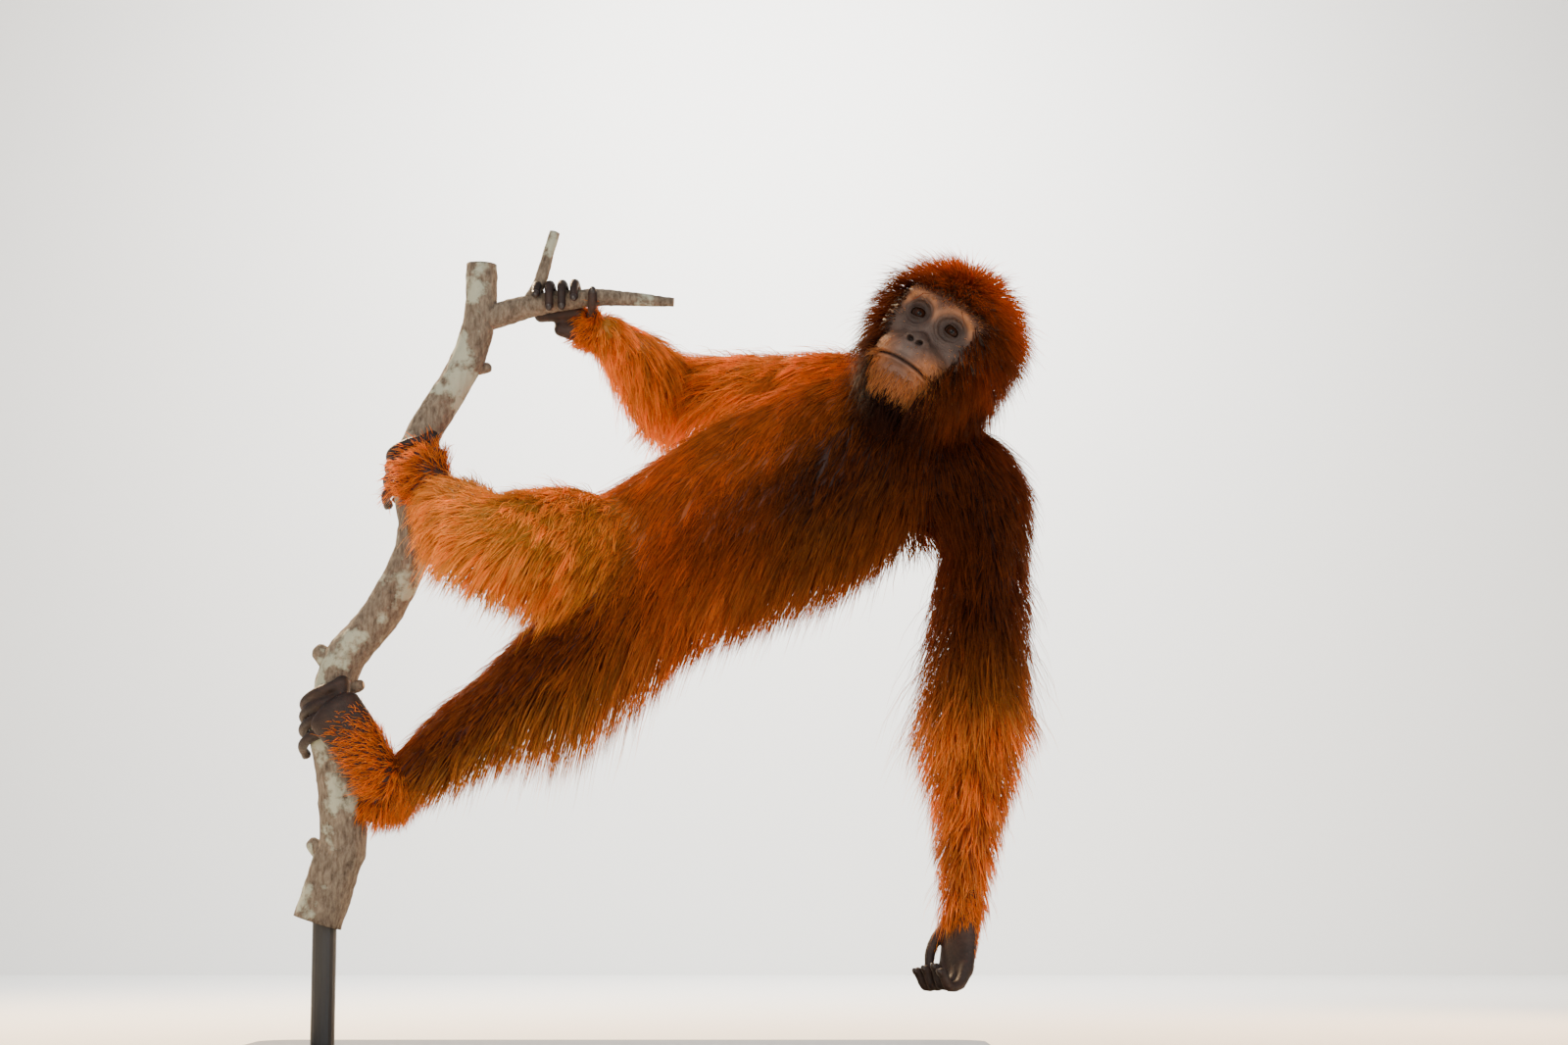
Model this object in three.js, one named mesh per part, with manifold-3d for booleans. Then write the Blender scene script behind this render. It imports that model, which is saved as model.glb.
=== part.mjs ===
// A life-size orangutan, still, gripping a leaning trunk with both feet and one hand while its
// other arm hangs free. Millimetres, +Z up, +X to the viewer's right, and the chest faces -Y.
// The origin is the centre of the base plate's underside. Left and right are the animal's own.
import * as THREE from "three";
import { mergeVertices } from "three/addons/utils/BufferGeometryUtils.js";
import Module from "manifold-3d";

const wasm = await Module();
wasm.setup();

// Driving dimensions
const GAP = 0.3; // free space kept between touching nodes
const CORE = 9; // how far the packed under-coat lifts the solids off the skin
const HEAD_SCALE = 1.17; // size of the head against a 205 mm chin-to-crown skull
const DIGIT_R = 9.6; // thickness of a finger at its root, as a radius
const BASE = { length: 1180, depth: 560, height: 30, corner: 60 };
const ROD_R = 19;
const FRONT = new THREE.Vector3(0, -1, 0);
const DOWN = new THREE.Vector3(0, 0, -1);

// Where the joints of the skeleton are
const at = (x, y, z) => new THREE.Vector3(x, y, z);
const JOINT = {
  shoulderRight: at(371, 60, 1060),
  elbowRight: at(79, 285, 1116),
  wristRight: at(-24, 22, 1162),
  shoulderLeft: at(560, 20, 905),
  elbowLeft: at(571, 0, 608),
  wristLeft: at(542, -25, 251),
  hipRight: at(-46, -5, 803),
  kneeRight: at(-165, -215, 806),
  ankleRight: at(-284, -58, 880),
  hipLeft: at(22, 10, 715),
  kneeLeft: at(-163, -45, 574),
  ankleLeft: at(-345, -24, 428),
  head: at(504, -60, 1119),
};

// Turning three.js geometry into solids and back
function toSolid(geometry) {
  const bare = geometry.clone();
  bare.deleteAttribute("normal");
  bare.deleteAttribute("uv");
  const merged = mergeVertices(bare, 1e-4);
  return new wasm.Manifold(
    new wasm.Mesh({
      numProp: 3,
      vertProperties: merged.attributes.position.array,
      triVerts: new Uint32Array(merged.index.array),
    }),
  );
}

function toGeometry(solid) {
  const mesh = solid.getMesh();
  const points = new Float32Array(mesh.numVert * 3);
  for (let i = 0; i < mesh.numVert; i++) {
    points.set(mesh.vertProperties.subarray(i * mesh.numProp, i * mesh.numProp + 3), i * 3);
  }
  const geometry = new THREE.BufferGeometry();
  geometry.setAttribute("position", new THREE.BufferAttribute(points, 3));
  geometry.setIndex(new THREE.BufferAttribute(mesh.triVerts, 1));
  geometry.computeVertexNormals();
  return geometry;
}

const joined = (solids) => solids.reduce((whole, piece) => whole.add(piece));

function largest(solid) {
  const pieces = solid.decompose();
  return pieces.reduce((best, piece) => (piece.volume() > best.volume() ? piece : best));
}

// A closed skin over rings of points, all with the same number of points, with a tip at each end.
function skinOver(rings, firstTip, lastTip) {
  const sides = rings[0].length;
  const points = [...rings.flat(), firstTip, lastTip];
  const first = rings.length * sides;
  const index = [];
  for (let r = 0; r + 1 < rings.length; r++) {
    for (let i = 0; i < sides; i++) {
      const a = r * sides + i;
      const b = r * sides + ((i + 1) % sides);
      index.push(a, b, b + sides, a, b + sides, a + sides);
    }
  }
  for (let i = 0; i < sides; i++) {
    const next = (i + 1) % sides;
    index.push(first, next, i);
    index.push(first + 1, first - sides + i, first - sides + next);
  }
  const geometry = new THREE.BufferGeometry();
  const flat = points.flatMap((p) => [p.x, p.y, p.z]);
  geometry.setAttribute("position", new THREE.Float32BufferAttribute(flat, 3));
  geometry.setIndex(index);
  const solid = toSolid(geometry);
  if (solid.volume() > 0) return solid;
  geometry.setIndex(index.toReversed());
  return toSolid(geometry);
}

// A limb, trunk or muzzle: oval sections on a smooth line. Each station is
// [x, y, z, half width, half depth], and the depth is measured along `front`.
class Form {
  constructor(stations, { front = FRONT, sides = 11, steps = 1, round = 0.55 } = {}) {
    const row = (k) => stations.map((s) => s[k]);
    this.line = new THREE.CatmullRomCurve3(stations.map((s) => at(s[0], s[1], s[2])), false, "centripetal");
    this.widths = row(3);
    this.depths = row(4);
    Object.assign(this, { front, sides, round, rows: (stations.length - 1) * steps });
  }
  blend(values, t) {
    const x = t * (values.length - 1);
    const k = Math.min(Math.floor(x), values.length - 2);
    const f = x - k;
    const s = f * f * (3 - 2 * f);
    return values[k] * (1 - s) + values[k + 1] * s;
  }
  section(t, grow = 0) {
    const centre = this.line.getPoint(t);
    const along = this.line.getTangent(t);
    const deep = this.front.clone().addScaledVector(along, -this.front.dot(along)).normalize();
    const wide = new THREE.Vector3().crossVectors(along, deep);
    const width = this.blend(this.widths, t) + grow;
    const depth = this.blend(this.depths, t) + grow;
    return { centre, along, deep, wide, width, depth };
  }
  surface(t, turn, grow = 0) {
    const s = this.section(t, grow);
    const c = Math.cos(turn);
    const w = Math.sin(turn);
    const point = s.centre.clone().addScaledVector(s.deep, c * s.depth).addScaledVector(s.wide, w * s.width);
    const normal = s.deep.clone().multiplyScalar(c / s.depth).addScaledVector(s.wide, w / s.width).normalize();
    return { point, normal, along: s.along };
  }
  solid(grow = 0) {
    const rings = [];
    const ringAt = (t, scale, shift) => {
      const s = this.section(t, grow);
      return Array.from({ length: this.sides }, (_, i) => {
        const turn = (i / this.sides) * 2 * Math.PI;
        return s.centre
          .clone()
          .addScaledVector(s.deep, Math.cos(turn) * s.depth * scale)
          .addScaledVector(s.wide, Math.sin(turn) * s.width * scale)
          .addScaledVector(s.along, shift);
      });
    };
    const first = this.section(0, grow);
    const last = this.section(1, grow);
    const firstReach = Math.min(first.width, first.depth) * this.round;
    const lastReach = Math.min(last.width, last.depth) * this.round;
    rings.push(ringAt(0, 0.68, -firstReach * 0.72));
    for (let r = 0; r <= this.rows; r++) rings.push(ringAt(r / this.rows, 1, 0));
    rings.push(ringAt(1, 0.68, lastReach * 0.72));
    return skinOver(
      rings,
      first.centre.clone().addScaledVector(first.along, -firstReach),
      last.centre.clone().addScaledVector(last.along, lastReach),
    );
  }
}

const padded = (stations, by) => stations.map(([x, y, z, w, d]) => [x, y, z, w + by, d + by]);
const limb = (stations, options) => new Form(padded(stations, CORE), options);
const bare = (stations, options) => new Form(stations, options);

// Torso
const spine = limb(
  [
    [-72, 22, 716, 66, 58],
    [-28, 22, 742, 104, 84],
    [40, 20, 785, 122, 94],
    [110, 14, 824, 128, 100],
    [205, 6, 872, 138, 108],
    [300, 0, 915, 144, 114],
    [385, 4, 957, 132, 108],
    [440, 14, 985, 104, 88],
    [478, 20, 1004, 70, 66],
  ],
  { sides: 14 },
);
const shoulderMassLeft = limb(
  [
    [430, 20, 950, 84, 78],
    [520, 22, 925, 84, 74],
    [560, 18, 890, 72, 66],
  ],
  { sides: 10 },
);
const shoulderMassRight = limb(
  [
    [420, 30, 1000, 76, 66],
    [380, 52, 1048, 66, 60],
    [330, 84, 1066, 56, 54],
  ],
  { sides: 10 },
);

// Limbs
const armRight = limb([
  [410, 40, 1035, 64, 62],
  [330, 96, 1068, 58, 56],
  [230, 172, 1092, 50, 50],
  [130, 250, 1110, 44, 46],
  [79, 285, 1116, 42, 44],
  [52, 250, 1124, 44, 46],
  [25, 165, 1138, 42, 42],
  [0, 90, 1151, 32, 33],
  [-24, 22, 1162, 24, 27],
]);
const armLeft = limb([
  [535, 22, 935, 70, 66],
  [572, 18, 872, 66, 62],
  [578, 10, 790, 54, 54],
  [576, 2, 700, 46, 50],
  [571, 0, 608, 42, 46],
  [570, -4, 545, 47, 48],
  [562, -12, 450, 42, 42],
  [551, -20, 340, 30, 30],
  [542, -25, 251, 24, 22],
]);
const legRight = limb([
  [-15, 12, 792, 90, 80],
  [-70, -60, 806, 80, 78],
  [-125, -145, 810, 62, 64],
  [-168, -205, 808, 50, 52],
  [-200, -190, 822, 46, 48],
  [-238, -130, 848, 46, 46],
  [-284, -58, 880, 30, 32],
]);
const legLeft = limb([
  [30, 18, 735, 84, 80],
  [-25, 0, 690, 78, 76],
  [-95, -24, 630, 62, 62],
  [-163, -42, 574, 48, 50],
  [-215, -44, 532, 46, 48],
  [-275, -36, 484, 42, 42],
  [-345, -24, 428, 26, 30],
]);
const neckForm = limb(
  [
    [455, 22, 992, 70, 66],
    [492, 6, 1030, 72, 64],
    [520, -10, 1078, 70, 64],
    [536, -20, 1120, 66, 60],
  ],
  { sides: 10 },
);

// The long coat, as one smooth form over each limb, out to the tips of its hair. Hair hangs, so these
// lie lower than the limbs, and it is longest at the elbows, along the flank and under the left thigh.
const spineCoat = bare(
  [
    [-66, 36, 690, 92, 78],
    [-18, 38, 718, 132, 106],
    [50, 36, 764, 148, 118],
    [118, 30, 804, 154, 124],
    [212, 22, 852, 164, 132],
    [306, 16, 896, 168, 136],
    [388, 18, 944, 152, 130],
    [440, 24, 978, 120, 106],
    [476, 26, 1000, 84, 80],
  ],
  { sides: 14 },
);
const armRightCoat = bare([
  [404, 42, 1036, 80, 74],
  [330, 98, 1066, 84, 74],
  [230, 176, 1088, 82, 70],
  [130, 254, 1102, 84, 68],
  [72, 298, 1102, 88, 66],
  [42, 258, 1106, 86, 64],
  [18, 170, 1118, 78, 58],
  [-4, 92, 1142, 54, 46],
  [-23, 28, 1161, 32, 32],
]);
const armLeftCoat = bare([
  [535, 22, 938, 80, 76],
  [574, 18, 872, 86, 80],
  [578, 12, 790, 84, 76],
  [566, 6, 700, 98, 78],
  [550, 2, 608, 112, 76],
  [548, -4, 545, 108, 72],
  [552, -12, 450, 82, 62],
  [549, -20, 340, 56, 46],
  [542, -25, 256, 34, 30],
]);
const legRightCoat = bare([
  [-15, 12, 798, 104, 94],
  [-70, -60, 816, 106, 94],
  [-125, -145, 822, 100, 88],
  [-170, -208, 820, 90, 80],
  [-204, -194, 832, 86, 76],
  [-242, -132, 854, 74, 62],
  [-286, -60, 884, 42, 40],
]);
const legLeftCoat = bare([
  [34, 18, 702, 128, 86],
  [-20, 0, 632, 142, 84],
  [-86, -24, 578, 124, 70],
  [-156, -42, 542, 92, 60],
  [-210, -44, 506, 78, 56],
  [-272, -36, 466, 64, 48],
  [-342, -25, 426, 34, 34],
]);
const neckCoat = bare(
  [
    [462, 30, 980, 88, 84],
    [496, 10, 1026, 92, 84],
    [526, -4, 1074, 92, 82],
    [544, -14, 1118, 84, 74],
  ],
  { sides: 10 },
);

// Perch: the trunk and its side branch, cut short
const trunkForm = bare(
  [
    [-462, 0, 222, 40, 40],
    [-438, 0, 300, 39, 39],
    [-424, 0, 345, 38, 38],
    [-430, 0, 436, 37, 37],
    [-446, 0, 513, 34, 34],
    [-444, 0, 574, 33, 33],
    [-427, 0, 633, 33, 33],
    [-377, 0, 695, 32, 32],
    [-337, 0, 767, 31, 31],
    [-318, 0, 838, 30, 30],
    [-326, 0, 900, 30, 30],
    [-317, 0, 971, 30, 30],
    [-274, 0, 1050, 28, 28],
    [-239, 0, 1113, 28, 28],
    [-222, 0, 1185, 27, 27],
    [-220, 0, 1265, 25, 25],
  ],
  { sides: 10, round: 0.02 },
);
const branchForm = bare(
  [
    [-222, 0, 1172, 20, 20],
    [-175, 0, 1188, 21, 21],
    [-131, -4, 1198, 19, 19],
    [-81, -6, 1206, 17, 17],
    [-21, -8, 1209, 14, 14],
    [40, -10, 1205, 11, 11],
    [88, -12, 1201, 8, 8],
  ],
  { sides: 8, round: 0.02 },
);
const KNOTS = [
  { t: 0.1, turn: -1.6, size: 15 },
  { t: 0.3, turn: 1.5, size: 14 },
  { t: 0.395, turn: -1.7, size: 17 },
  { t: 0.36, turn: 1.4, size: 12 },
  { t: 0.865, turn: 1.9, size: 11 },
];
function knotOf({ t, turn, size }) {
  const { point, normal } = trunkForm.surface(t, turn);
  const stub = [-12, 4, 14].map((reach, k) => {
    const p = point.clone().addScaledVector(normal, reach).addScaledVector(DOWN, -reach * 0.4);
    return [p.x, p.y, p.z, size * (1 - 0.18 * k), size * (1 - 0.18 * k)];
  });
  return bare(stub, { sides: 5, round: 0.3 });
}
const offshootForm = bare(
  [
    [-150, -2, 1194, 13, 13],
    [-128, -2, 1232, 11, 11],
    [-116, 0, 1275, 10, 10],
    [-104, 2, 1318, 9, 9],
  ],
  { sides: 8, round: 0.02 },
);

// Hands and feet. A digit follows a list of points and thins towards its nail.
function digit(points, radius, { sides = 6 } = {}) {
  const last = points.length - 1;
  const stations = points.map((p, k) => {
    const r = radius * (1 - 0.28 * (k / last));
    return [p.x, p.y, p.z, r, r];
  });
  return bare(stations, { front: at(0.31, -0.52, 0.79).normalize(), sides, round: 0.9 });
}

// Points wound round a branch: from one angle to another, drifting along its axis.
function wound({ centre, axis, start, reach, from, to, drift, count }) {
  const across = new THREE.Vector3().crossVectors(axis, start).normalize();
  const base = new THREE.Vector3().crossVectors(across, axis).normalize();
  return Array.from({ length: count }, (_, k) => {
    const f = k / (count - 1);
    const turn = THREE.MathUtils.degToRad(from + (to - from) * f);
    return centre
      .clone()
      .addScaledVector(base, Math.cos(turn) * reach)
      .addScaledVector(across, Math.sin(turn) * reach)
      .addScaledVector(axis, drift * f);
  });
}

const footLeftGrip = { centre: at(-445, 0, 560), axis: at(0.02, 0, 1).normalize(), radius: 34 };
const footRightGrip = { centre: at(-321, 0, 950), axis: at(0.1, 0, 1).normalize(), radius: 30 };
const handRightGrip = { centre: at(-96, -6, 1204), axis: at(1, 0, 0.06).normalize(), radius: 18 };

// Four digits side by side round the perch, and a short thumb or great toe the other way.
function gripDigits(grip, { start, pitch, radius, sweep, drift, thumb }) {
  const forms = [];
  const knuckles = [];
  for (let k = 0; k < 4; k++) {
    const centre = grip.centre.clone().addScaledVector(grip.axis, -pitch * (k - 1.5));
    const short = k === 3 ? 0.82 : k === 0 ? 0.9 : 1;
    const path = wound({
      centre,
      axis: grip.axis,
      start,
      reach: grip.radius + radius * 0.92,
      from: sweep[0],
      to: sweep[0] + (sweep[1] - sweep[0]) * short,
      drift,
      count: 5,
    });
    forms.push(digit(path, radius));
    knuckles.push([path[0].x, path[0].y, path[0].z, radius * 1.25, radius * 1.25]);
  }
  forms.push(bare(knuckles, { front: start, sides: 5 }));
  const path = wound({
    centre: grip.centre.clone().addScaledVector(grip.axis, thumb.shift),
    axis: grip.axis,
    start,
    reach: grip.radius + radius,
    from: thumb.from,
    to: thumb.to,
    drift: thumb.drift,
    count: 4,
  });
  forms.push(digit(path, radius * 1.05));
  return forms;
}

const TOES = { start: at(1, 0, 0), pitch: 21, radius: DIGIT_R + 0.4 };
const footLeftForms = [
  limb(
    [
      [-340, -26, 432, 28, 32],
      [-368, -34, 452, 30, 32],
      [-398, -50, 500, 34, 20],
      [-432, -56, 545, 38, 16],
    ],
    { sides: 10 },
  ),
  limb(
    [
      [-345, -20, 418, 26, 28],
      [-372, -10, 404, 24, 24],
      [-388, 0, 404, 18, 20],
    ],
    { sides: 10 },
  ),
  ...gripDigits(footLeftGrip, { ...TOES, sweep: [-62, -232], drift: -46, thumb: { shift: -92, from: 10, to: 120, drift: 10 } }),
  bare(
    [
      [-372, -14, 425, 18, 18],
      [-392, 4, 455, 16, 16],
      [-398, 8, 470, 13, 13],
    ],
    { sides: 8 },
  ),
];
const footRightForms = [
  limb(
    [
      [-276, -62, 876, 28, 30],
      [-292, -60, 902, 30, 28],
      [-306, -56, 935, 36, 16],
    ],
    { sides: 10 },
  ),
  limb(
    [
      [-278, -56, 872, 26, 28],
      [-276, -34, 858, 24, 24],
      [-280, -18, 850, 18, 20],
    ],
    { sides: 10 },
  ),
  ...gripDigits(footRightGrip, { ...TOES, sweep: [-48, -236], drift: -44, thumb: { shift: -72, from: 10, to: 125, drift: 8 } }),
  bare(
    [
      [-280, -30, 868, 18, 18],
      [-280, -6, 876, 15, 15],
      [-284, 8, 882, 12, 12],
    ],
    { sides: 8 },
  ),
];
const handRightForms = [
  limb(
    [
      [-18, 34, 1158, 22, 20],
      [-48, 32, 1166, 28, 16],
      [-84, 34, 1182, 34, 12],
    ],
    { front: at(0.2, 0.7, -0.7).normalize(), sides: 10 },
  ),
  ...gripDigits(handRightGrip, {
    start: at(0, 1, 0),
    pitch: 20,
    radius: DIGIT_R - 0.3,
    sweep: [-40, 205],
    drift: -4,
    thumb: { shift: 52, from: -70, to: -190, drift: 4 },
  }),
];

// The left hand hangs with its fingers closed towards the viewer's left.
const palmDown = at(-0.14, -0.14, -0.98).normalize();
const palmFace = at(-0.82, -0.56, 0.02).normalize();
const palmWide = new THREE.Vector3().crossVectors(palmDown, palmFace).normalize();
const PALM_LENGTH = 118;
function handPoint(along, face, wide) {
  return JOINT.wristLeft
    .clone()
    .addScaledVector(palmDown, along)
    .addScaledVector(palmFace, face)
    .addScaledVector(palmWide, wide);
}
function curled(wide, lengths, bends) {
  const points = [handPoint(PALM_LENGTH - 18, 2, wide)];
  let turn = 0;
  lengths.forEach((reach, k) => {
    turn += THREE.MathUtils.degToRad(bends[k]);
    const way = palmDown.clone().multiplyScalar(Math.cos(turn)).addScaledVector(palmFace, Math.sin(turn));
    const from = points[points.length - 1];
    points.push(from.clone().addScaledVector(way, reach * 0.55));
    if (k === 2) points.push(from.clone().addScaledVector(way, reach));
  });
  return points;
}
const handLeftForms = [
  bare(
    [-46, 8, 60, PALM_LENGTH - 12].map((along, k) => {
      const p = handPoint(along, 0, 0);
      return [p.x, p.y, p.z, [25, 28, 38, 40][k], [22, 21, 18, 14][k]];
    }),
    { front: palmFace, sides: 10 },
  ),
  ...[-29, -10, 10, 28].map((wide, k) =>
    digit(curled(wide, [48, 38, 28], [22 + 3 * k, 62, 66].map((b) => b - 3 * Math.abs(k - 1))), DIGIT_R),
  ),
  digit(
    [handPoint(28, 4, 24), handPoint(52, 16, 38), handPoint(76, 22, 42), handPoint(94, 22, 40)],
    DIGIT_R,
  ),
];

// Head, in its own frame: x to the viewer's right, y out of the face, z up the face.
const headAxes = {
  x: at(0.813, -0.249, -0.526).normalize(),
  y: at(-0.244, -0.966, 0.08).normalize(),
};
headAxes.z = new THREE.Vector3().crossVectors(headAxes.y, headAxes.x).normalize();
function onHead(x, y, z) {
  return JOINT.head
    .clone()
    .addScaledVector(headAxes.x, x * HEAD_SCALE)
    .addScaledVector(headAxes.y, y * HEAD_SCALE)
    .addScaledVector(headAxes.z, z * HEAD_SCALE);
}
const headWay = (x, y, z) => onHead(x, y, z).sub(JOINT.head).normalize();
function headForm(stations, options = {}) {
  const placed = stations.map(([x, y, z, w, d]) => {
    const p = onHead(x, y, z);
    return [p.x, p.y, p.z, w * HEAD_SCALE, d * HEAD_SCALE];
  });
  return bare(placed, { front: headWay(0, 0, 1), ...options });
}
const skullForm = headForm(
  [
    [0, -96, 18, 52, 48],
    [0, -72, 20, 72, 68],
    [0, -36, 18, 83, 80],
    [0, 4, 10, 84, 86],
    [0, 34, 2, 76, 84],
    [0, 54, -4, 64, 74],
  ],
  { sides: 12, round: 0.3 },
);
const scalpForm = headForm(
  [
    [0, -104, 12, 66, 66],
    [0, -74, 16, 90, 98],
    [0, -36, 20, 92, 112],
    [0, 4, 22, 89, 108],
    [0, 36, 26, 76, 88],
  ],
  { sides: 12, round: 0.3 },
);
const jawForm = headForm(
  [
    [0, -30, -40, 62, 40],
    [0, 10, -58, 60, 38],
    [0, 46, -68, 52, 36],
    [0, 74, -74, 42, 30],
    [0, 88, -78, 30, 22],
  ],
  { sides: 8, round: 0.4 },
);
const muzzleForm = headForm(
  [
    [0, 30, -34, 58, 36],
    [0, 60, -38, 52, 33],
    [0, 84, -42, 45, 28],
    [0, 99, -46, 36, 21],
    [0, 106, -48, 24, 13],
  ],
  { sides: 10, round: 0.35 },
);
const lowerLipForm = headForm(
  [
    [-40, 72, -64, 6, 6],
    [-26, 91, -60, 8, 8],
    [0, 102, -59, 10, 10],
    [26, 91, -60, 8, 8],
    [40, 72, -64, 6, 6],
  ],
  { sides: 6 },
);
const upperLipForm = headForm(
  [
    [-42, 72, -52, 6, 5],
    [-27, 94, -46, 8, 6],
    [0, 106, -43, 9, 7],
    [27, 94, -46, 8, 6],
    [42, 72, -52, 6, 5],
  ],
  { sides: 6 },
);
const chinForm = headForm(
  [
    [0, 62, -84, 34, 24],
    [0, 82, -86, 24, 18],
    [0, 90, -88, 14, 12],
  ],
  { sides: 6 },
);
const browForms = [-1, 1].map((side) =>
  headForm(
    [
      [side * 3, 64, 34, 8, 8],
      [side * 16, 66, 43, 8, 8],
      [side * 32, 62, 46, 8, 8],
      [side * 46, 52, 38, 8, 8],
      [side * 54, 40, 22, 8, 8],
      [side * 56, 34, 2, 8, 8],
    ],
    { front: headWay(0, 1, 0), sides: 5 },
  ),
);
const noseForm = headForm(
  [
    [0, 58, 30, 8, 8],
    [0, 70, 8, 8, 9],
    [0, 86, -10, 11, 9],
    [0, 95, -20, 15, 9],
  ],
  { front: headWay(0, 1, 0), sides: 5 },
);
const cheekForms = [-1, 1].map((side) =>
  headForm(
    [
      [side * 22, 62, -4, 10, 8],
      [side * 38, 56, -2, 12, 9],
      [side * 54, 40, -10, 12, 11],
      [side * 60, 26, -30, 14, 14],
    ],
    { front: headWay(0, 1, 0), sides: 5 },
  ),
);

function ball(x, y, z, rx, ry, rz, grow = 0, wide = 16, high = 10) {
  const sphere = new THREE.SphereGeometry(1, wide, high);
  const scale = (r) => r * HEAD_SCALE + grow;
  const turn = new THREE.Matrix4().makeBasis(headAxes.x, headAxes.y, headAxes.z.clone().negate());
  sphere.scale(scale(rx), scale(ry), scale(rz));
  sphere.applyMatrix4(turn);
  const p = onHead(x, y, z);
  sphere.translate(p.x, p.y, p.z);
  return toSolid(sphere);
}
const EYE = { x: 26, y: 57, z: 19, r: 12 };
const eyeSolid = (side, grow = 0) => ball(side * EYE.x, EYE.y, EYE.z, EYE.r, EYE.r, EYE.r, grow, 8, 6);
const orbit = (side) => ball(side * EYE.x, EYE.y + 12, EYE.z, 18, 15, 15, 0, 8, 5);
function lidSolids(side) {
  return [1, -1].map((half) => {
    const rim = [];
    for (let k = 0; k <= 4; k++) {
      const turn = (k / 4) * Math.PI;
      const out = Math.sin(turn);
      const x = side * EYE.x + Math.cos(turn) * 14.5;
      const z = EYE.z + half * out * (half > 0 ? 9 : 8);
      const y = EYE.y + 6.5 + out * 3;
      rim.push([x, y, z, 3.6, 3]);
    }
    return headForm(rim, { front: headWay(0, 1, 0), sides: 5 }).solid();
  });
}
const nostril = (side) => ball(side * 6.5, 99, -20, 4.4, 7, 3.6, 0, 6, 4);
const mouthCut = () =>
  headForm(
    [
      [-46, 74, -56, 1.2, 8],
      [-28, 100, -52.5, 1.4, 10],
      [0, 113, -50.5, 1.6, 12],
      [28, 100, -52.5, 1.4, 10],
      [46, 74, -56, 1.2, 8],
    ],
    { front: headWay(0, 1, 0), sides: 5 },
  ).solid();

const EAR = { x: 90, y: -14, z: 6 };
function earSolid(side, grow = 0) {
  const shell = ball(side * EAR.x, EAR.y, EAR.z, 8, 17, 22, grow, 10, 6);
  if (grow > 0) return shell;
  return shell.subtract(ball(side * (EAR.x + 7), EAR.y + 3, EAR.z + 1, 6, 10, 14, 0, 8, 6));
}

function headFlesh(grow = 0) {
  const forms = [
    skullForm,
    scalpForm,
    jawForm,
    muzzleForm,
    lowerLipForm,
    upperLipForm,
    chinForm,
    noseForm,
    ...browForms,
    ...cheekForms,
  ];
  let head = joined(forms.map((form) => form.solid(grow)));
  if (grow > 0) return head;
  for (const side of [-1, 1]) {
    head = head.subtract(orbit(side));
    head = joined([head, ...lidSolids(side)]);
    head = head.subtract(eyeSolid(side, GAP)).subtract(nostril(side));
  }
  return head.subtract(mouthCut());
}

// Cutting a limb into its parts: each plane is a joint and the way along the limb.
const half = GAP / 2;
function between(solid, from, to, grow = 0) {
  let piece = solid;
  if (from) {
    const n = from.way;
    piece = piece.trimByPlane([n.x, n.y, n.z], n.dot(from.at) + half - grow);
  }
  if (to) {
    const n = to.way.clone().negate();
    piece = piece.trimByPlane([n.x, n.y, n.z], n.dot(to.at) + half - grow);
  }
  return piece;
}
function cutAt(form, t) {
  const s = form.section(t);
  return { at: s.centre, way: s.along };
}

const torso = (grow) => joined([spineCoat, shoulderMassLeft, shoulderMassRight].map((f) => f.solid(grow)));
const WAIST = cutAt(spine, 0.47);
const HIPS = cutAt(spine, 0.2);
const hand = (forms) => (grow) => joined(forms.map((f) => f.solid(grow)));

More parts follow.
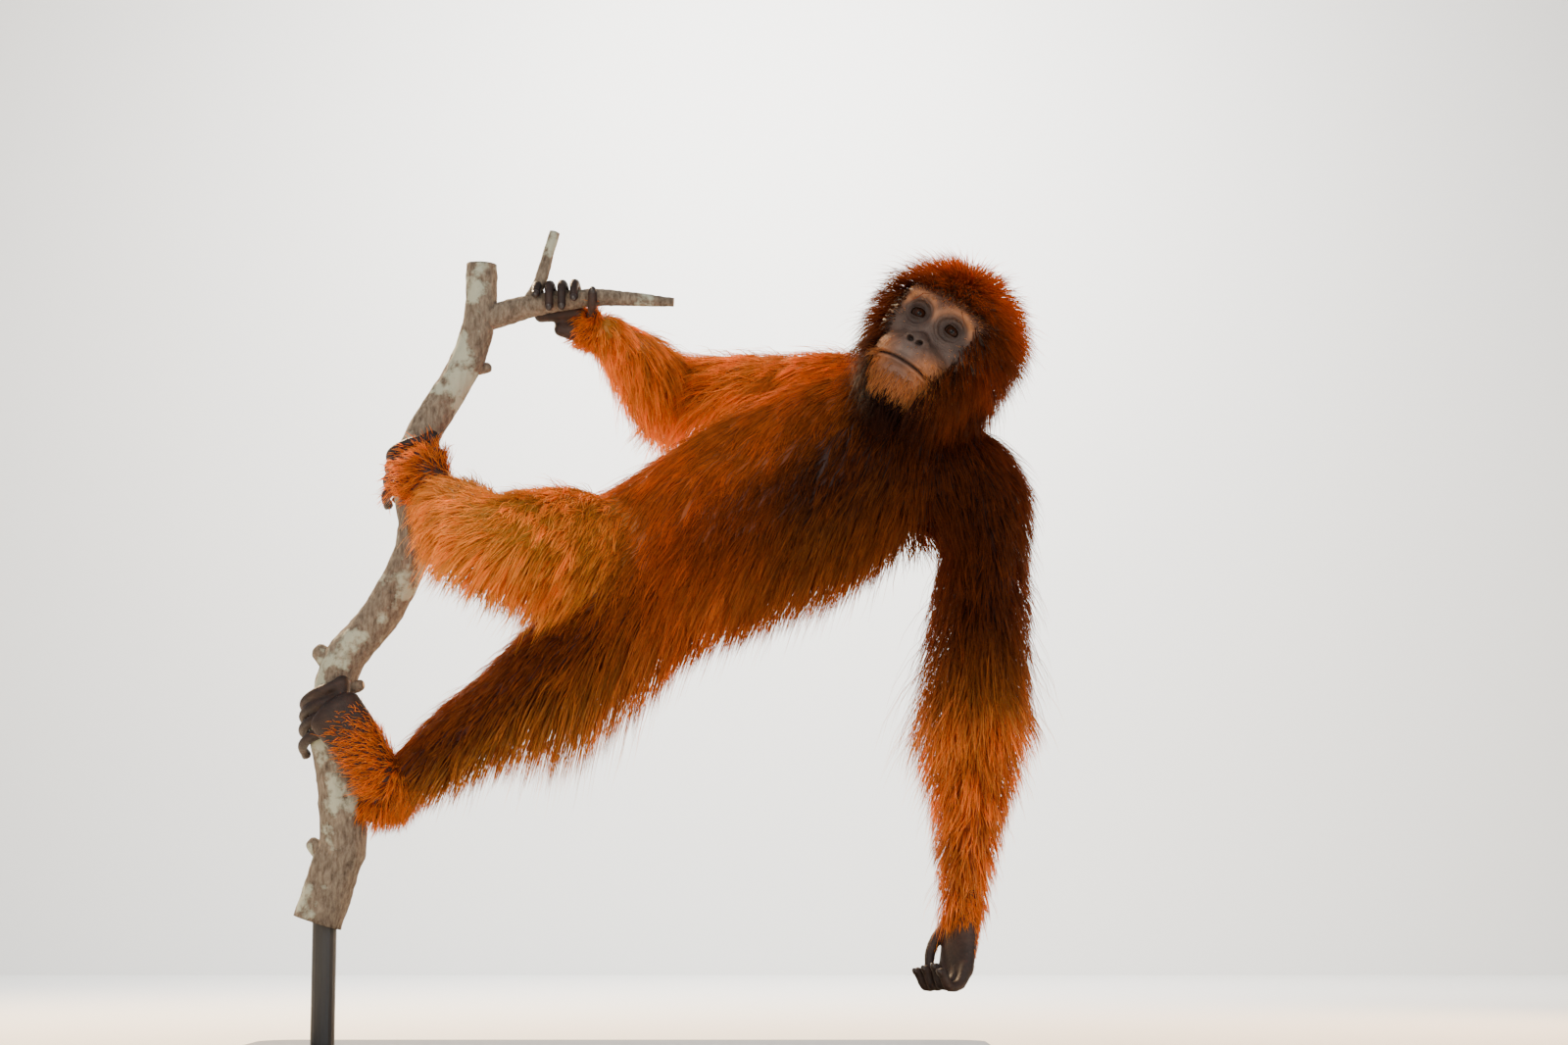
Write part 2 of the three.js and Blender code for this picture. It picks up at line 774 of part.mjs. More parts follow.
// Each node: its material and its solid grown by an amount. Earlier nodes keep their full form, and
// later ones are cut clear of them.
const dressed = (form, coat, from, to) => (grow) =>
  between(coat.solid(grow), from === null ? null : cutAt(form, from), to === null ? null : cutAt(form, to), grow);
const trunkOfBody = (from, to) => (grow) => between(torso(grow), from, to, grow);
const RECIPES = {
  stand_base: { slot: "stand", solid: baseSolid },
  stand_rod: { slot: "stand", solid: rodSolid },
  perch_trunk: { slot: "bark", solid: (grow) => joined([trunkForm, ...KNOTS.map(knotOf)].map((f) => f.solid(grow))) },
  perch_branch: { slot: "bark", solid: (grow) => joined([branchForm, offshootForm].map((f) => f.solid(grow))) },
  eye_right: { slot: "eye", solid: (grow) => eyeSolid(-1, grow) },
  eye_left: { slot: "eye", solid: (grow) => eyeSolid(1, grow) },
  head: { slot: "face", solid: headFlesh },
  ear_right: { slot: "face", solid: (grow) => earSolid(-1, grow) },
  ear_left: { slot: "face", solid: (grow) => earSolid(1, grow) },
  chest: { slot: "coat", solid: trunkOfBody(WAIST, null) },
  belly: { slot: "coat", solid: trunkOfBody(HIPS, WAIST) },
  pelvis: { slot: "coat", solid: trunkOfBody(null, HIPS) },
  neck: { slot: "coat", solid: (grow) => neckCoat.solid(grow) },
  upper_arm_right: { slot: "coat", solid: dressed(armRight, armRightCoat, null, 0.5) },
  upper_arm_left: { slot: "coat", solid: dressed(armLeft, armLeftCoat, null, 0.5) },
  thigh_right: { slot: "coat", solid: dressed(legRight, legRightCoat, null, 0.5) },
  thigh_left: { slot: "coat", solid: dressed(legLeft, legLeftCoat, null, 0.5) },
  forearm_right: { slot: "coat", solid: dressed(armRight, armRightCoat, 0.5, 0.97) },
  forearm_left: { slot: "coat", solid: dressed(armLeft, armLeftCoat, 0.5, 0.97) },
  shin_right: { slot: "coat", solid: dressed(legRight, legRightCoat, 0.5, 0.95) },
  shin_left: { slot: "coat", solid: dressed(legLeft, legLeftCoat, 0.5, 0.95) },
  hand_right: { slot: "skin", solid: hand(handRightForms) },
  hand_left: { slot: "skin", solid: hand(handLeftForms) },
  foot_right: { slot: "skin", solid: hand(footRightForms) },
  foot_left: { slot: "skin", solid: hand(footLeftForms) },
};

// Stand: a flat plate and one short rod under the cut end of the trunk
function baseSolid(grow = 0) {
  const w = BASE.length / 2;
  const d = BASE.depth / 2;
  const r = BASE.corner;
  const outline = new THREE.Shape();
  outline.moveTo(-w + r, -d);
  outline.lineTo(w - r, -d);
  outline.absarc(w - r, -d + r, r, -Math.PI / 2, 0);
  outline.lineTo(w, d - r);
  outline.absarc(w - r, d - r, r, 0, Math.PI / 2);
  outline.lineTo(-w + r, d);
  outline.absarc(-w + r, d - r, r, Math.PI / 2, Math.PI);
  outline.lineTo(-w, -d + r);
  outline.absarc(-w + r, -d + r, r, Math.PI, 1.5 * Math.PI);
  const plate = new THREE.ExtrudeGeometry(outline, { depth: BASE.height + grow, bevelEnabled: false, curveSegments: 5 });
  return toSolid(plate);
}
function rodSolid(grow = 0) {
  const foot = BASE.height + GAP;
  const top = 262;
  const rod = new THREE.CylinderGeometry(ROD_R + grow, ROD_R + grow, top - foot, 20);
  rod.rotateX(Math.PI / 2);
  rod.translate(-450, 0, (top + foot) / 2);
  return toSolid(rod);
}

const LOOKS = {
  coat: { color: 0xb5521f, roughness: 0.85, metalness: 0 },
  face: { color: 0x6b5a50, roughness: 0.6, metalness: 0 },
  skin: { color: 0x3a2a24, roughness: 0.6, metalness: 0 },
  eye: { color: 0x2a1408, roughness: 0.12, metalness: 0 },
  bark: { color: 0x8a7a6a, roughness: 0.95, metalness: 0 },
  stand: { color: 0x2b2b2d, roughness: 0.5, metalness: 0.6 },
};

function clearOf(piece, box, others) {
  let kept = piece;
  for (const other of others) {
    const apart = [0, 1, 2].some((k) => box.min[k] > other.box.max[k] || box.max[k] < other.box.min[k]);
    if (!apart) kept = kept.subtract(other.grown);
  }
  return kept;
}
const model = new THREE.Group();
const done = [];
for (const [name, { slot, solid }] of Object.entries(RECIPES)) {
  const whole = solid(0);
  const piece = largest(clearOf(whole, whole.boundingBox(), done));
  const settled = largest(toSolid(toGeometry(piece)));
  const grown = solid(GAP);
  done.push({ grown, box: grown.boundingBox() });
  const mesh = new THREE.Mesh(toGeometry(settled), new THREE.MeshStandardMaterial(LOOKS[slot]));
  mesh.name = name;
  model.add(mesh);
}
export default model;
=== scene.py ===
# %% [markdown]
# # An orangutan on a leaning trunk
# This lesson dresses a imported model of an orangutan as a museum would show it: skin, eyes, a long
# coat of hair, a trunk to hold and a plain base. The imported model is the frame, and nothing in it moves.

# %% The frame
import math
import bpy
import numpy as np
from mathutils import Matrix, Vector, kdtree


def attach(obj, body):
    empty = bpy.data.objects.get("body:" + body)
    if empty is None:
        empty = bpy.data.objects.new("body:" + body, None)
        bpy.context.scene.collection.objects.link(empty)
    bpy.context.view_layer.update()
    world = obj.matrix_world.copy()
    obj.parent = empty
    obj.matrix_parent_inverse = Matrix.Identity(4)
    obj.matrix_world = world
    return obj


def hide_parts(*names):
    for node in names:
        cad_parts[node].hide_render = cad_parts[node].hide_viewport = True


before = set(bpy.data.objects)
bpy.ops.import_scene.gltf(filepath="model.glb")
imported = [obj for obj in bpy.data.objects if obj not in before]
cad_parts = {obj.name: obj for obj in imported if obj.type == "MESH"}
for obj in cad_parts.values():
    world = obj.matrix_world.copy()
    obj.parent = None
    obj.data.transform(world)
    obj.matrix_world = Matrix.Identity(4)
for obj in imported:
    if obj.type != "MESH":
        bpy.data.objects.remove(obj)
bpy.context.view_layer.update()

MM = 0.001
rng = np.random.default_rng(7)
print("frame:", len(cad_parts), "nodes")

# %% [markdown]
# ## Colours and shaders
# Colours are written as the eye sees them on a screen and turned to linear light in one place, so
# that every material agrees. The small function adds a node and sets its sockets in one line.


# %% Colour and node helpers
def linear(hex_colour):
    """sRGB hex to linear light."""
    value = int(hex_colour.lstrip("#"), 16)
    channels = [((value >> shift) & 255) / 255 for shift in (16, 8, 0)]
    return np.array([c / 12.92 if c <= 0.04045 else ((c + 0.055) / 1.055) ** 2.4 for c in channels])


def rgba(hex_colour):
    return (*linear(hex_colour), 1.0)


def add(tree, kind, links=(), **sockets):
    """Adds a shader node, sets sockets by name and links inputs given as (socket, output)."""
    node = tree.nodes.new("ShaderNode" + kind)
    for key, value in sockets.items():
        name = key.replace("_", " ")
        if name in node.inputs:
            node.inputs[name].default_value = value
        else:
            setattr(node, key, value)
    for socket, output in links:
        tree.links.new(output, node.inputs[socket])
    return node


def ramp(tree, factor, *stops):
    """A colour ramp with its two stops given as (position, colour)."""
    node = add(tree, "ValToRGB", [("Fac", factor)])
    for element, (position, colour) in zip(node.color_ramp.elements, stops):
        element.position = position
        element.color = colour
    return node


def new_material(name):
    material = bpy.data.materials.new(name)
    material.use_nodes = True
    material.node_tree.nodes.clear()
    return material, material.node_tree


def finished(material, shader):
    """Joins the last shader to the material's output."""
    add(material.node_tree, "OutputMaterial", [("Surface", shader.outputs[0])])
    return material


print("colour and node helpers ready")


# %% [markdown]
# ## Meshes from arrays
# Every surface here is worked out with arrays of points, so one function turns points and faces into
# a Blender mesh, smooth or faceted, with a colour for each point when it has one.


# %% Mesh helpers
def mesh_object(name, points, faces, colours=None, smooth=True):
    mesh = bpy.data.meshes.new(name)
    faces = np.asarray(faces, dtype=np.int32)
    corners = faces.shape[1]
    mesh.vertices.add(len(points))
    mesh.vertices.foreach_set("co", np.asarray(points, dtype=np.float32).ravel())
    mesh.loops.add(faces.size)
    mesh.loops.foreach_set("vertex_index", faces.ravel())
    mesh.polygons.add(len(faces))
    mesh.polygons.foreach_set("loop_start", np.arange(0, faces.size, corners, dtype=np.int32))
    mesh.polygons.foreach_set("use_smooth", np.full(len(faces), smooth))
    mesh.update(calc_edges=True)
    mesh.validate()
    if colours is not None:
        layer = mesh.color_attributes.new("Tone", "FLOAT_COLOR", "POINT")
        full = np.concatenate([colours, np.ones((len(colours), 1))], axis=1)
        layer.data.foreach_set("color", full.astype(np.float32).ravel())
    item = bpy.data.objects.new(name, mesh)
    bpy.context.scene.collection.objects.link(item)
    return item


def tube_quads(rings, sides):
    """Quads that join each ring of points to the next."""
    i, j = np.meshgrid(np.arange(rings - 1), np.arange(sides), indexing="ij")
    k = (j + 1) % sides
    quad = [i * sides + j, i * sides + k, (i + 1) * sides + k, (i + 1) * sides + j]
    return np.stack(quad, axis=-1).reshape(-1, 4)


def unit(v):
    v = np.asarray(v, dtype=float)
    return v / (np.linalg.norm(v, axis=-1, keepdims=True) + 1e-12)


print("mesh helpers ready")


# %% [markdown]
# ## Surfaces from distance fields
# A taxidermist's form is built up with clay over a manikin, each mass blended into the next. A
# distance field does the same: each mass is a function that is negative inside, and a soft minimum
# blends them. The surface is then read off the grid where the field crosses zero.


# %% Distance field and its surface
FAR = 60.0
BOX_MARGIN = 14


class Field:
    """A grid over a box, holding a blended distance in millimetres."""

    def __init__(self, low, high, step):
        self.low = np.array(low, dtype=float)
        self.step = step
        self.shape = tuple(int(math.ceil((h - l) / step)) + 1 for l, h in zip(low, high))
        self.value = np.full(self.shape, FAR, dtype=np.float32)

    def part(self, low, high):
        first = np.maximum(0, np.floor((np.array(low) - self.low) / self.step).astype(int))
        last = np.minimum(self.shape, np.ceil((np.array(high) - self.low) / self.step).astype(int) + 1)
        slices = tuple(slice(a, b) for a, b in zip(first, last))
        axes = [self.low[i] + self.step * np.arange(first[i], last[i]) for i in range(3)]
        grid = np.stack(np.meshgrid(*axes, indexing="ij"), axis=-1)
        return slices, grid

    def blend(self, distance, low, high, soft, cut=False):
        """Soft union with a mass, or a soft cut of one, inside a box."""
        slices, grid = self.part(low, high)
        if 0 in grid.shape:
            return
        d = distance(grid)
        if cut:
            d = -d
        old = self.value[slices]
        a, b = (-old, -d) if cut else (old, d)
        h = np.clip(0.5 + 0.5 * (b - a) / soft, 0, 1)
        mixed = b * (1 - h) + a * h - soft * h * (1 - h)
        self.value[slices] = -mixed if cut else mixed

    def lump(self, centre, radii, soft, cut=False, reach=None, turn=None):
        """Blends an ellipsoid in, or cuts it away, inside a box that reaches past it."""
        centre = np.array(centre, dtype=float)
        reach = reach or max(radii) + BOX_MARGIN
        self.blend(ball(centre, radii, turn), centre - reach, centre + reach, soft, cut)

    def shift(self, change, low, high):
        """Adds a small change to the field: positive digs a groove, negative raises a ridge."""
        slices, grid = self.part(low, high)
        self.value[slices] += change(grid).astype(np.float32)

    def surface(self):
        """Surface nets: one point in each cell that the surface crosses, joined by quads."""
        f = self.value
        inside = f < 0
        cells = np.zeros(tuple(n - 1 for n in self.shape), dtype=bool)
        corner = [(i, j, k) for i in (0, 1) for j in (0, 1) for k in (0, 1)]
        window = lambda c: tuple(slice(o, o + n - 1) for o, n in zip(c, self.shape))
        all_in = np.ones(cells.shape, dtype=bool)
        for c in corner:
            cells |= inside[window(c)]
            all_in &= inside[window(c)]
        cells &= ~all_in
        where = np.argwhere(cells)
        index = np.full(cells.shape, -1, dtype=np.int64)
        index[tuple(where.T)] = np.arange(len(where))
        total = np.zeros((len(where), 3))
        count = np.zeros(len(where))
        for axis in range(3):
            for c in corner:
                if c[axis] == 1:
                    continue
                other = list(c)
                other[axis] = 1
                a = f[tuple((where + c).T)]
                b = f[tuple((where + other).T)]
                crossing = (a < 0) != (b < 0)
                share = np.where(crossing, a / np.where(crossing, a - b, 1), 0)
                point = (where + c).astype(float)
                point[:, axis] += share
                total += point * crossing[:, None]
                count += crossing
        points = self.low + self.step * total / count[:, None]
        faces = []
        for axis in range(3):
            u, v = [(1, 2), (2, 0), (0, 1)][axis]
            low_side = [slice(None)] * 3
            high_side = [slice(None)] * 3
            low_side[axis] = slice(0, -1)
            high_side[axis] = slice(1, None)
            starts = inside[tuple(low_side)]
            ends = inside[tuple(high_side)]
            for flip in (False, True):
                edge = (starts & ~ends) if not flip else (~starts & ends)
                at = np.argwhere(edge)
                at = at[(at[:, u] > 0) & (at[:, v] > 0)]
                at = at[(at[:, u] < self.shape[u] - 1) & (at[:, v] < self.shape[v] - 1)]
                quad = []
                for du, dv in ((1, 1), (0, 1), (0, 0), (1, 0)):
                    cell = at.copy()
                    cell[:, u] -= du
                    cell[:, v] -= dv
                    quad.append(index[tuple(cell.T)])
                quad = np.stack(quad, axis=1)
                faces.append(quad[:, ::-1] if flip else quad)
        faces = np.concatenate(faces)
        return points, faces[(faces >= 0).all(axis=1)]


def relaxed(points, faces, rounds=2, pull=0.5):
    """Evens a surface out by drawing each point towards the mean of its neighbours."""
    edges = np.concatenate([faces[:, [i, (i + 1) % 4]] for i in range(4)])
    for _ in range(rounds):
        total = np.zeros_like(points)
        np.add.at(total, edges[:, 0], points[edges[:, 1]])
        np.add.at(total, edges[:, 1], points[edges[:, 0]])
        count = np.bincount(edges.ravel(), minlength=len(points))[:, None]
        points = points * (1 - pull) + pull * total / np.maximum(count, 1)
    return points


def ball(centre, radii, turn=None):
    """An ellipsoid's distance, near enough for blending."""
    radii = np.array(radii, dtype=float)

    def distance(p):
        q = p - centre
        if turn is not None:
            q = q @ turn.T
        k0 = np.linalg.norm(q / radii, axis=-1)
        k1 = np.linalg.norm(q / radii**2, axis=-1)
        return k0 * (k0 - 1) / np.maximum(k1, 1e-6)

    return distance


print("distance fields ready")


# %% [markdown]
# ## Oval forms along a line
# Limbs, trunk, fingers and branches are all oval sections carried along a smooth line. The same
# object gives the mass to the skin's field and tells, for any point near it, how far along the limb
# it lies and on which side. The coat's lie, length and colour are worked out from that.


# %% Oval forms
FRONT = np.array([0.0, -1.0, 0.0])
DOWN = np.array([0.0, 0.0, -1.0])


def smooth_line(points, per_span):
    """A Catmull-Rom line through the points."""
    p = np.array(points, dtype=float)
    p = np.vstack([2 * p[0] - p[1], p, 2 * p[-1] - p[-2]])
    out = []
    for i in range(1, len(p) - 2):
        for j in range(per_span):
            t = j / per_span
            a, b, c, d = p[i - 1], p[i], p[i + 1], p[i + 2]
            square = 2 * a - 5 * b + 4 * c - d
            cube = 3 * b - a - 3 * c + d
            out.append(0.5 * (2 * b + (c - a) * t + square * t**2 + cube * t**3))
    out.append(p[-2])
    return np.array(out)


class Form:
    """Stations are x, y, z, half width and half depth, all in millimetres."""

    def __init__(self, stations, front=FRONT, per_span=4):
        s = smooth_line(stations, per_span)
        self.line, self.wide_r, self.deep_r = s[:, :3], s[:, 3], s[:, 4]
        way = np.gradient(self.line, axis=0)
        self.way = unit(way)
        deep = front - self.way * (self.way @ np.asarray(front, dtype=float))[:, None]
        self.deep = unit(deep)
        self.wide = np.cross(self.way, self.deep)
        reach = np.maximum(self.wide_r, self.deep_r)[:, None] + 30
        self.low = (self.line - reach).min(axis=0)
        self.high = (self.line + reach).max(axis=0)

    def measure(self, p):
        """Distance, place along the line (0 to 1) and turn about it, for points p."""
        shape = p.shape[:-1]
        q = p.reshape(-1, 3)
        best = np.full(len(q), 1e9)
        along = np.zeros(len(q))
        turn = np.zeros(len(q))
        spans = len(self.line) - 1
        for i in range(spans):
            a, b = self.line[i], self.line[i + 1]
            ab = b - a
            length = ab @ ab + 1e-9
            h = np.clip((q - a) @ ab / length, 0, 1)
            v = q - (a + h[:, None] * ab)
            deep = self.deep[i] * (1 - h[:, None]) + self.deep[i + 1] * h[:, None]
            wide = self.wide[i] * (1 - h[:, None]) + self.wide[i + 1] * h[:, None]
            rw = self.wide_r[i] * (1 - h) + self.wide_r[i + 1] * h
            rd = self.deep_r[i] * (1 - h) + self.deep_r[i + 1] * h
            vd = np.einsum("ij,ij->i", v, deep)
            vw = np.einsum("ij,ij->i", v, wide)
            low_r = np.minimum(rw, rd)
            past = np.linalg.norm(v, axis=1) ** 2 - vd**2 - vw**2
            k0 = np.sqrt((vd / rd) ** 2 + (vw / rw) ** 2 + np.maximum(past, 0) / low_r**2)
            k1 = np.sqrt((vd / rd**2) ** 2 + (vw / rw**2) ** 2 + np.maximum(past, 0) / low_r**4)
            d = k0 * (k0 - 1) / np.maximum(k1, 1e-6)
            closer = d < best
            best[closer] = d[closer]
            along[closer] = ((i + h) / spans)[closer]
            turn[closer] = np.arctan2(vw, vd)[closer]
        return best.reshape(shape), along.reshape(shape), turn.reshape(shape)

    def distance(self, p):
        return self.measure(p)[0]

    def at(self, t):
        """The line's direction at places along it, from 0 to 1."""
        x = np.clip(np.asarray(t) * (len(self.line) - 1), 0, len(self.line) - 1.001)
        i = x.astype(int)
        f = (x - i)[..., None]
        return unit(self.way[i] * (1 - f) + self.way[i + 1] * f)


def onto(field, form, soft):
    field.blend(form.distance, form.low, form.high, soft)


def round_form(stations, per_span):
    """A form whose sections are circles, each station being x, y, z and radius."""
    return Form([(*s, s[-1]) for s in stations], per_span=per_span)


print("oval forms ready")


# %% [markdown]
# ## The skeleton
# The pose comes from the joints. Each body form runs through them with the half widths of the bare
# body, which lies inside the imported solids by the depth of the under-coat.

# %% Body forms
SPINE = Form(
    [
        (-72, 22, 716, 62, 54),
        (-28, 22, 742, 104, 84),
        (40, 20, 785, 122, 94),
        (110, 14, 824, 128, 100),
        (205, 6, 872, 138, 108),
        (300, 0, 915, 144, 114),
        (385, 4, 957, 132, 108),
        (440, 14, 985, 104, 88),
        (478, 20, 1004, 70, 66),
    ]
)
SHOULDER_LEFT = Form([(430, 20, 950, 84, 78), (520, 22, 925, 84, 74), (560, 18, 890, 72, 66)])
SHOULDER_RIGHT = Form([(420, 30, 1000, 76, 66), (380, 52, 1048, 66, 60), (330, 84, 1066, 56, 54)])
ARM_RIGHT = Form(
    [
        (410, 40, 1035, 64, 62),
        (330, 96, 1068, 58, 56),
        (230, 172, 1092, 50, 50),
        (130, 250, 1110, 44, 46),
        (79, 285, 1116, 42, 44),
        (52, 250, 1124, 44, 46),
        (25, 165, 1138, 42, 42),
        (0, 90, 1151, 32, 33),
        (-24, 22, 1162, 24, 26),
    ]
)
ARM_LEFT = Form(
    [
        (535, 22, 935, 70, 66),
        (572, 18, 872, 66, 62),
        (578, 10, 790, 54, 54),
        (576, 2, 700, 46, 50),
        (571, 0, 608, 42, 46),
        (570, -4, 545, 47, 48),
        (562, -12, 450, 42, 42),
        (551, -20, 340, 30, 30),
        (542, -25, 251, 24, 21),
    ]
)
LEG_RIGHT = Form(
    [
        (-15, 12, 792, 90, 80),
        (-70, -60, 806, 80, 78),
        (-125, -145, 810, 62, 64),
        (-168, -205, 808, 50, 52),
        (-200, -190, 822, 46, 48),
        (-238, -130, 848, 46, 46),
        (-284, -58, 880, 30, 32),
    ]
)
LEG_LEFT = Form(
    [
        (30, 18, 735, 84, 80),
        (-25, 0, 690, 78, 76),
        (-95, -24, 630, 62, 62),
        (-163, -42, 574, 48, 50),
        (-215, -44, 532, 46, 48),
        (-275, -36, 484, 42, 42),
        (-345, -24, 428, 26, 30),
    ]
)
NECK = Form(
    [
        (455, 22, 992, 70, 66),
        (492, 6, 1030, 72, 64),
        (520, -10, 1078, 70, 64),
        (536, -20, 1120, 64, 58),
    ]
)
MASSES = {
    "spine": SPINE,
    "shoulder_left": SHOULDER_LEFT,
    "shoulder_right": SHOULDER_RIGHT,
    "arm_right": ARM_RIGHT,
    "arm_left": ARM_LEFT,
    "leg_right": LEG_RIGHT,
    "leg_left": LEG_LEFT,
    "neck": NECK,
}
print("body masses:", ", ".join(MASSES))

# %% [markdown]
# ## Skin of the body
# The masses are blended on a fine grid, with a wide blend at the shoulders and hips,
# where the real skin stretches between the limb and the trunk. Breast, belly and buttock fill out
# the plain ovals.

# %% Body skin
BODY_STEP = 6.5
body = Field((-420, -300, 200), (680, 380, 1260), BODY_STEP)
for form in MASSES.values():
    onto(body, form, 26)
SWELLS = [
    ((330, -92, 905), (52, 26, 44)),
    ((392, -84, 968), (46, 24, 40)),
    ((170, -74, 845), (96, 40, 84)),
    ((-20, 78, 752), (70, 42, 60)),
]
for centre, radii in SWELLS:
    body.lump(centre, radii, 34, reach=max(radii) + 30)
body_points, body_faces = body.surface()
body_points = relaxed(body_points, body_faces, 3)
print("body skin:", len(body_faces), "faces")

# %% [markdown]
# ## The head
# The head is modelled in its own frame, as a head about 205 mm tall, and scaled up from there: x to
# the viewer's right, y out of the face and z up it. A grown female has close-set eyes in a shallow
# dish, a flat nose with small nostrils, a tall rounded upper lip, a wide thin mouth and a short chin,
# with fine folds round the eyes and down the muzzle.

# %% Head frame
HEAD_SCALE = 1.17
HEAD_AT = np.array([504.0, -60.0, 1119.0])
HEAD_X = unit([0.813, -0.249, -0.526])
HEAD_Y = unit([-0.244, -0.966, 0.080])
HEAD_Z = np.cross(HEAD_Y, HEAD_X)
HEAD_AXES = np.stack([HEAD_X, HEAD_Y, HEAD_Z])


def from_head(p):
    return HEAD_AT + HEAD_SCALE * np.asarray(p, dtype=float) @ HEAD_AXES


def to_head(p):
    return (np.asarray(p) - HEAD_AT) @ HEAD_AXES.T / HEAD_SCALE


EYE = {"x": 26.0, "y": 57.0, "z": 19.0, "r": 11.6}
MOUTH_Z = -50.5


def eye_centre(side):
    return np.array([side * EYE["x"], EYE["y"], EYE["z"]])


def mouth_line(x):
    return MOUTH_Z - 5.5 * (np.abs(x) / 42) ** 2.2


def bell(value, centre, width):
    """1 at the centre, fading to nothing a little past the width."""
    return np.exp(-(((value - centre) / width) ** 2))


def within(value, low, high, soft=4.0):
    """1 between two limits and 0 past them, with soft edges."""
    return 1 / (1 + np.exp(-(value - low) / soft)) / (1 + np.exp((value - high) / soft))


print("head frame ready")


# %% [markdown]
# The masses of the skull come first, then the soft parts of the face over them.

# %% Head masses
HEAD_STEP = 1.35
head = Field((-100, -128, -122), (100, 124, 118), HEAD_STEP)
SKULL = [
    ((0, -30, 20), (83, 84, 84), 10),
    ((0, 14, 12), (80, 58, 84), 12),
    ((0, 30, -14), (70, 44, 66), 12),
    ((0, -10, -52), (62, 60, 44), 18),
    ((0, 40, -66), (52, 48, 38), 16),
    ((0, 50, -44), (54, 54, 36), 12),
    ((0, 78, -38), (41, 26, 22), 12),
    ((0, 70, -66), (38, 30, 22), 10),
    ((0, 70, -88), (28, 24, 19), 12),
    ((0, 60, 44), (40, 15, 16), 14),
    ((0, 68, 14), (9, 9, 26), 12),
    ((0, 84, -14), (13, 11, 10), 8),
]
for mass in SKULL:
    head.lump(*mass)
for side in (-1, 1):
    sides = [
        ((side * 31, 60, 43), (24, 14, 9), 10, False),
        ((side * 52, 44, 26), (9, 15, 24), 10, False),
        ((side * 46, 46, -8), (20, 18, 14), 12, False),
        ((side * EYE["x"], 77, EYE["z"]), (18.5, 13, 15.5), 9, True),
        ((side * 9.5, 89, -17), (8, 9, 7), 5, False),
        ((side * 27, 66, -46), (17, 20, 20), 16, False),
    ]
    for mass in sides:
        head.lump(*mass)
print("head grid:", head.shape)

# %% [markdown]
# Lids are shells round the eyeball, opened along an almond. The folds round them, the lips, the
# nostrils and the creases of the muzzle are grooves and ridges laid over the masses.


# %% Lids, lips and folds
LID = 1.6
PORE_DEPTH = 0.12
EYE_OPEN = {"half_wide": 11.8, "up": 6.3, "down": 5.6}


def lid_shell(side, upper):
    """The upper or lower lid: a shell round the eyeball, cut off along the opening."""
    centre = eye_centre(side)

    def distance(p):
        q = p - centre
        r = np.linalg.norm(q, axis=-1)
        shell = np.abs(r - (EYE["r"] + 1.5)) - LID
        x = q[..., 0] * side
        z = q[..., 2] + 0.12 * x
        almond = np.sqrt(np.clip(1 - (x / EYE_OPEN["half_wide"]) ** 2, 0, 1))
        edge = EYE_OPEN["up"] * almond - z if upper else z + EYE_OPEN["down"] * almond
        return np.maximum(np.maximum(shell, edge), -q[..., 1] - 2)

    return distance


def eye_folds(p):
    total = np.zeros(p.shape[:-1])
    for side in (-1, 1):
        x = (p[..., 0] - side * EYE["x"]) * side
        z = p[..., 2] - EYE["z"]
        r = np.sqrt((x / 1.12) ** 2 + z**2)
        below = within(-z, 2, 40, 2.5) * within(p[..., 1], 42, 90)
        above = within(z, 2, 40, 2.5) * within(p[..., 1], 42, 90)
        wobble = 0.5 * np.sin(x * 0.55 + side)
        for radius, deep, wide in ((14.8, 1.3, 1.3), (18.6, 1.2, 1.5), (22.8, 0.9, 1.7), (27.0, 0.6, 1.8)):
            total += deep * bell(r, radius + wobble, wide) * below
        for radius, deep, wide in ((15.2, 1.6, 1.3), (19.2, 0.9, 1.6), (24.0, 0.5, 1.8)):
            total += deep * bell(r, radius - wobble, wide) * above
        bag = bell(r, 16.7, 1.6) * below
        hood = bell(r, 17.0, 1.7) * above
        total -= 0.9 * bag + 1.1 * hood
    return total


def lips(p):
    x, y, z = p[..., 0], p[..., 1], p[..., 2]
    line = mouth_line(x)
    at_front = within(np.abs(x), -60, 43, 2.0) * within(y, 44, 140, 3)
    slit = 3.9 * bell(z, line, 1.25)
    upper = -2.2 * bell(z, line + 4.6, 2.6)
    lower = -2.9 * bell(z, line - 5.0, 3.1)
    under = 1.6 * bell(z, line - 12.5, 3.4) * within(np.abs(x), -60, 26, 5)
    return at_front * (slit + upper + lower + under)


def muzzle_creases(p):
    x, y, z = p[..., 0], p[..., 1], p[..., 2]
    total = np.zeros(p.shape[:-1])
    run = np.abs(x) - (15 + 0.46 * (-14 - z))
    total += 1.0 * bell(run, 0, 2.6) * within(z, -40, -8, 3) * within(y, 50, 140)
    for k, offset in enumerate((7.5, 13.5, 19.0)):
        crease = bell(run - 0.15 * z, offset, 1.8)
        total += (0.45 - 0.1 * k) * crease * within(z, -54, -14, 4) * within(y, 44, 140)
    ripple = np.sin(x * 0.62 + 1.3 * np.sin(z * 0.21)) * within(z, -47, -24, 3)
    total += 0.42 * np.maximum(ripple, 0) * within(np.abs(x), -60, 34, 4) * within(y, 70, 140)
    for k in range(3):
        frown = bell(z, 47 + 7.5 * k + 1.5 * np.cos(x * 0.11), 1.7)
        total += 0.7 * frown * within(np.abs(x), -60, 34, 5) * within(y, 50, 140)
    return total


